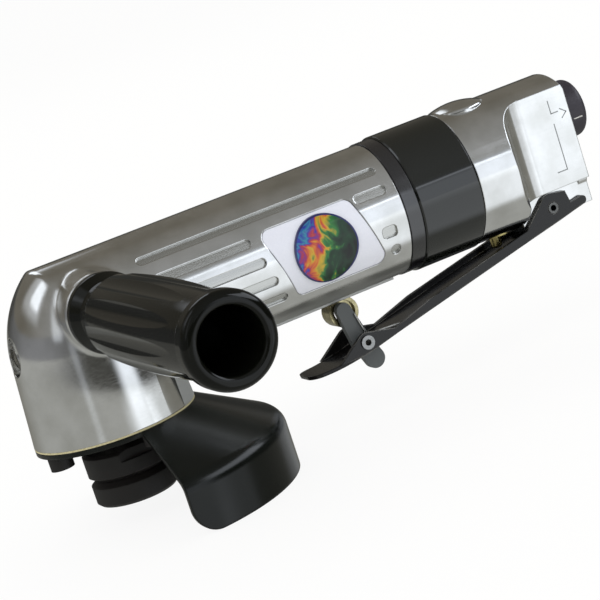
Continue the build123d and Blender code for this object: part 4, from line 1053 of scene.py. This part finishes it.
@dataclass
class Studio:
    """Plain studio: a pale floor, grey walls, a dim ceiling, white panels round about and two soft lamps."""

    floor_half_m: float = 15.0
    floor: str = "#f4f3ee"
    lifted: float = 0.9
    fill_level: float = 0.85
    panel_tint: str = "#eef5ff"
    # Walls all round, the ceiling over its edge, and the paper below, dimmer to the right where it is far off.
    sides: tuple[RoomSide, ...] = (
        RoomSide("#818284", "#484845", (((-0.996, 0.087, 0.0), (0.95, 0.3)),)),
        RoomSide("#989998", "#716d64", (((0.0, 1.0, 0.0), (-0.7, 0.5)),), upward=(0.0, 0.085, 1.0), edge=(0.27, 0.33)),
        RoomSide("#a8a9a5", "#85847d", (((-0.7, -0.7, 0.0), (0.0, -0.6)), ((0.0, 0.0, 1.0), (-0.6, -0.3))),
                 upward=(0.075, 0.0, 1.0), edge=(-0.048, -0.068)))
    panels: tuple[Panel, ...] = (
        Panel(bearing=25.0, height=4.0, half_wide=5.0, half_high=7.0, soft=14.0, level=1.2),
        Panel(bearing=26.0, height=-32.0, half_wide=16.0, half_high=15.0, soft=13.0, level=0.72),
        Panel(bearing=20.0, height=17.2, half_wide=30.0, half_high=0.6, soft=1.2, level=1.2),
        Panel(bearing=66.0, height=26.0, half_wide=28.0, half_high=8.0, soft=4.0, level=3.2),
        Panel(bearing=53.0, height=-15.0, half_wide=14.0, half_high=6.0, soft=4.0, level=0.6),
        Panel(bearing=-115.0, height=47.0, half_wide=18.0, half_high=12.0, soft=12.0, level=0.35),
        Panel(bearing=-108.0, height=50.0, half_wide=10.0, half_high=9.0, soft=6.0, level=0.9),
        Panel(bearing=-56.0, height=33.0, half_wide=3.0, half_high=14.0, soft=8.0, level=0.45),
        Panel(bearing=-38.0, height=0.0, half_wide=1.0, half_high=10.0, soft=6.0, level=0.2),
        Panel(bearing=130.0, height=0.0, half_wide=10.0, half_high=14.0, soft=8.0, level=0.35),
        Panel(bearing=173.0, height=38.0, half_wide=7.0, half_high=9.0, soft=4.0, level=1.3),
        Panel(bearing=-176.0, height=38.0, half_wide=4.0, half_high=9.0, soft=4.0, level=1.3))
    lamps: tuple[Lamp, ...] = (Lamp("key_lamp", (-0.7, -0.9, 1.5), 9.0), Lamp("back_lamp", (0.6, 1.2, 1.3), 5.0))
    # Camera, as the photograph was taken.
    yaw_deg: float = 19.93
    pitch_deg: float = 11.05
    roll_deg: float = -18.15
    eye_mm: Point = (-197.2, -755.7, 188.8)
    lens_mm: float = 141.6
    sensor_mm: float = 36.0
    nearest_m: float = 0.01

    def build(self, floor_z: float) -> None:
        """Lay the floor, and set up the surround, lamps and camera.

        Args:
            floor_z: The floor's height, in metres.
        """
        self.lay_floor(floor_z)
        self.paint_surround()
        for lamp in self.lamps:
            lamp.hang()
        self.stand_camera()

    def lay_floor(self, floor_z: float) -> None:
        """Lay a floor that stays white to the eye and keeps a faint shadow.

        Args:
            floor_z: Its height, in metres.
        """
        deselect()
        bpy.ops.mesh.primitive_plane_add(size=2 * self.floor_half_m, location=(0.0, 0.0, floor_z))
        floor = bpy.context.object
        floor.name = "studio_floor"
        made = bpy.data.materials.new("matt_paper")
        graph = Graph(made)
        paper = graph.add("BsdfDiffuse", self.floor)
        white = graph.add("Emission", WHITE, Strength=1.0)
        eye = graph.add("LightPath", out="Is Camera Ray")
        lifted = graph.add("Math", eye, self.lifted, operation="MULTIPLY")
        graph.add("OutputMaterial", graph.add("MixShader", lifted, paper, white))
        floor.data.materials.append(made)
        floor.visible_glossy = False
        floor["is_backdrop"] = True

    def paint_surround(self) -> None:
        """White all round for the eye and an even fill; gloss shows the panels, walls, ceiling and paper."""
        world = bpy.data.worlds.new("studio_surround")
        bpy.context.scene.world = world
        graph = Graph(world, "Generated")
        gloss = graph.add("Background", self.room(graph), Strength=1.0)
        fill = graph.add("Background", WHITE, Strength=self.fill_level)
        white = graph.add("Background", WHITE, Strength=1.0)
        eye, mirrored, through = (graph.add("LightPath", out=f"Is {ray} Ray")
                                  for ray in ("Camera", "Glossy", "Transmission"))
        lit = graph.add("MixShader", mirrored, fill, gloss)
        direct = graph.add("Math", eye, through, operation="MAXIMUM")
        graph.add("OutputWorld", graph.add("MixShader", direct, lit, white))

    def room(self, graph: Graph) -> Socket:
        """Colour of the room by direction: walls, the ceiling above, the paper below, and the panels.

        Args:
            graph: The world's nodes.

        Returns:
            The colour socket.
        """
        colour = WHITE
        for side in self.sides:
            colour = side.paint(graph, colour)
        right, back, up = (graph.add("SeparateXYZ", graph.place, out=axis) for axis in "XYZ")
        near = graph.add("Math", back, -1.0, operation="MULTIPLY")
        bearing = graph.add("Math", right, near, operation="ARCTAN2")
        height = graph.add("Math", up, operation="ARCSINE")
        light = 0.0
        for panel in self.panels:
            light = panel.add_to(graph, bearing, height, light)
        return graph.add("VectorMath", light, linear(self.panel_tint)[:3], colour, operation="MULTIPLY_ADD")

    def stand_camera(self) -> None:
        """Stand the camera where the photograph was taken, rolled as it was."""
        yaw, pitch, roll = (math.radians(v) for v in (self.yaw_deg, self.pitch_deg, self.roll_deg))
        forward = Vector((math.sin(yaw) * math.cos(pitch), math.cos(yaw) * math.cos(pitch), -math.sin(pitch)))
        level = Vector((math.cos(yaw), -math.sin(yaw), 0.0))
        upright = level.cross(forward)
        right = math.cos(roll) * level + math.sin(roll) * upright
        up = -math.sin(roll) * level + math.cos(roll) * upright
        data = bpy.data.cameras.new("photo_camera")
        data.lens, data.sensor_width, data.clip_start = self.lens_mm, self.sensor_mm, self.nearest_m
        camera = bpy.data.objects.new("photo_camera", data)
        bpy.context.scene.collection.objects.link(camera)
        turn = Matrix((right, up, -forward)).transposed().to_4x4()
        camera.matrix_world = Matrix.Translation(Vector(self.eye_mm) * MM) @ turn
        bpy.context.scene.camera = camera
        bpy.context.scene.view_settings.view_transform = "Standard"


# Bright and even, with a short sheen.
GROUND_STEEL = TurnedMetal("ground_steel", bright="#cfcecb", dark="#b4b2ae", mark_mm=0.6, rough=(0.14, 0.26))
# Warm grey, bright on each crest.
CAST_THREAD = TurnedMetal("tapped_aluminium", bright="#cbc8c1", dark="#a8a59d", mark_mm=0.4)
FINISHES: tuple[tuple[Finish, tuple[str, ...]], ...] = (
    # Soft mirror that goes cloudy, duller where the wheel didn't reach.
    (BuffedCasting("buffed_aluminium"), ("main_housing", "valve_housing")),
    # Pale, with hairlines round the spindle.
    (TurnedMetal("turned_aluminium", bright="#d5d3cf", dark="#b9b6b0", turn=Turn.SPINDLE), ("bearing_cap",)),
    (GROUND_STEEL, ("grease_plug", "valve_spring", "handle_stud", "lock_spring")),
    # Grey, with a broad dull sheen.
    (TurnedMetal("drawn_rivet_steel", bright="#a9a9a8", dark="#8d8d8b", rough=(0.22, 0.36)), ("tab_pin",)),
    # Dark grey, with a narrow bright glint.
    (TurnedMetal("blued_pin_steel", bright="#6f6f6d", dark="#5b5b59", rough=(0.16, 0.3)), ("lever_pin",)),
    # Bright, with fine rings round the spindle.
    (TurnedMetal("ground_bearing_steel_upright", bright="#cfcecb", dark="#b2b0ac", turn=Turn.SPINDLE,
                 rough=(0.12, 0.24)), ("upper_bearing", "lower_bearing", "upper_race", "lower_race")),
    # The same, with rings round the barrel's axis.
    (TurnedMetal("ground_bearing_steel_lengthwise", bright="#cfcecb", dark="#b2b0ac", turn=Turn.BARREL,
                 rough=(0.12, 0.24)), ("front_bearing", "rear_bearing", "front_race", "rear_race")),
    # Middle grey, with tool marks round the spindle.
    (TurnedMetal("turned_steel_upright", bright="#a8a6a2", dark="#8b8985", turn=Turn.SPINDLE),
     ("spindle", "bevel_gear")),
    # The same, with marks round the barrel's axis.
    (TurnedMetal("turned_steel_lengthwise", bright="#a8a6a2", dark="#8b8985", turn=Turn.BARREL),
     ("bevel_pinion", "rotor", "cylinder_liner", "front_plate", "rear_plate")),
    # Slate grey and satin, paler on rubbed edges.
    (BlackCoat("blued_spring_steel", coat="#4f5354", thin="#606465", bare="#8d8f8e", peel_mm=0.5, rough=(0.42, 0.55),
               edge_mm=0.35), ("lock_tab",)),
    # Brownish black, dry and grainy.
    (BlackCoat("black_oxide_steel", coat="#110f0e", thin="#1d1a18", bare="#5f5a55", peel_mm=0.4, peel_depth_mm=0.02,
               rough=(0.5, 0.62), edge_mm=0.4, wear=0.25), ("guard_screws", "inner_flange", "flange_nut")),
    # Deep black with smooth, weak lights, hardly worn.
    (BlackCoat("baked_black_enamel", coat="#080b08", thin="#0e120f", rough=(0.16, 0.22), edge_mm=1.0, wear=0.1,
               ior=1.36), ("wheel_guard",)),
    # Thick glossy black, with bright metal painted along its edges, partly rubbed wear and partly painted highlight.
    (BlackCoat("dipped_black_enamel_painted_glint", coat="#0f0e0e", thin="#191818", bare="#c4c2bc", peel_mm=0.7, rough=(0.14, 0.22),
               edge_mm=0.6, wear=1.0, wear_patch_mm=14.0, ior=1.46), ("throttle_lever",)),
    # Black, with a soft strong sheen.
    (MouldedPlastic("satin_black_nylon", colour="#0f0e11", faded="#17161a", rough=(0.14, 0.22), ior=1.9),
     ("exhaust_ring",)),
    # Black right through, with sharp, weak lights.
    (MouldedPlastic("phenolic_black", colour="#070805", faded="#0c0d0a", rough=(0.05, 0.1), ior=1.34),
     ("handle_grip",)),
    # Black mirror, with sharp, strong lights.
    (MouldedPlastic("gloss_black_nylon", colour="#0e100e", faded="#151714", rough=(0.03, 0.06), ior=1.69),
     ("exhaust_sleeve",)),
    # Dull violet grey, with a fine grain.
    (MouldedPlastic("knob_nylon", colour="#2a262e", faded="#353139", grain_mm=0.3, grain_depth_mm=0.02,
                    rough=(0.38, 0.5), ior=1.53), ("regulator_knob",)),
    # Pale and faintly blue, under a clear face, with painted shade along its edge.
    (PearlFilm("pearl_label_film"), ("label_plate",)),
    # Blue through red and gold to green, under clear gloss.
    (OilSlickFoil("oil_slick_foil"), ("badge_disc",)),
    # Straw-coloured and dry.
    (MattedFibre("gasket_card"), ("guard_gasket",)),
    # Grey and fuzzy.
    (MattedFibre("wool_felt", pale="#8b8983", dark="#5d5b57", fibre_mm=0.3, fibre_long_mm=4.0, fuzz_depth_mm=0.3),
     ("silencer_felt",)),
    # Soft matt black.
    (MouldedPlastic("nitrile_rubber", colour="#141414", faded="#1e1e1e", rough=(0.45, 0.6), ior=1.52),
     ("housing_seal", "valve_seal", "regulator_ring")),
    # Pale yellow, with fine tool marks.
    (TurnedMetal("turned_brass", bright="#c9bb83", dark="#a2955f", mark_mm=0.4, rough=(0.2, 0.34)),
     ("valve_bush", "valve_stem", "valve_poppet", "regulator_spool")),
    # Bright wires over gaps painted dark as shade.
    (WovenWire("stainless_wire_cloth"), ("inlet_screen",)),
    # Pale gold, with slow streaks.
    (TurnedMetal("champagne_anodised_aluminium", bright="#bdb48f", dark="#9b926e", mark_mm=1.5, rough=(0.16, 0.3)),
     ("hanger_eye",)),
    # Brown, lined on its cut edges.
    (LayeredLaminate("cloth_phenolic_laminate"), ("vanes",)),
)
THREADS = (
    ThreadLining("inlet_thread", (192.4, 0.0, 39.4), (-1.0, 0.0, 0.0), bore_r_mm=5.55, deep_mm=11.4, pitch_mm=1.41),
    ThreadLining("front_socket_thread", (-22.4, 0.0, 50.0), (1.0, 0.0, 0.0), bore_r_mm=4.54, deep_mm=6.6,
                 pitch_mm=1.25),
    ThreadLining("far_socket_thread", (1.7, 25.2, 58.2), (0.0, -1.0, 0.0), bore_r_mm=4.54, deep_mm=9.4,
                 pitch_mm=1.25),
)


def dress(nodes: dict[str, Piece]) -> None:
    """Give every CAD node its finish.

    Args:
        nodes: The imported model's nodes, by name.
    """
    bare = set(nodes)
    for finish, names in FINISHES:
        made = finish.material()
        for name in names:
            for slot in nodes[name].material_slots:
                slot.material = made
            bare.discard(name)
        LOG.info("%s: %s", finish.title, ", ".join(names))
    if bare:
        raise ValueError(f"nodes without a finish: {sorted(bare)}")


def corners() -> list[list[float]]:
    """Return the whole object's lowest and highest corners as plain numbers."""
    return [[float(value) for value in corner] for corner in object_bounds()]


def main() -> None:
    """Load the frame, dress it, add the small fittings and set up the studio."""
    logging.basicConfig(level=logging.INFO, format="%(message)s")
    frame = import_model()
    cad_box = corners()
    Studio().build(cad_box[0][2])
    dress(frame["nodes"])
    fittings = [FlatMarks().build(), KnobIndex().build()]
    fittings += [thread.build(CAST_THREAD) for thread in THREADS]
    fittings.append(ValveCoil().build(GROUND_STEEL))
    for fitting in fittings:
        LOG.info("%s rides on %s", fitting.name, body_of(fitting))


if __name__ == "__main__":
    main()
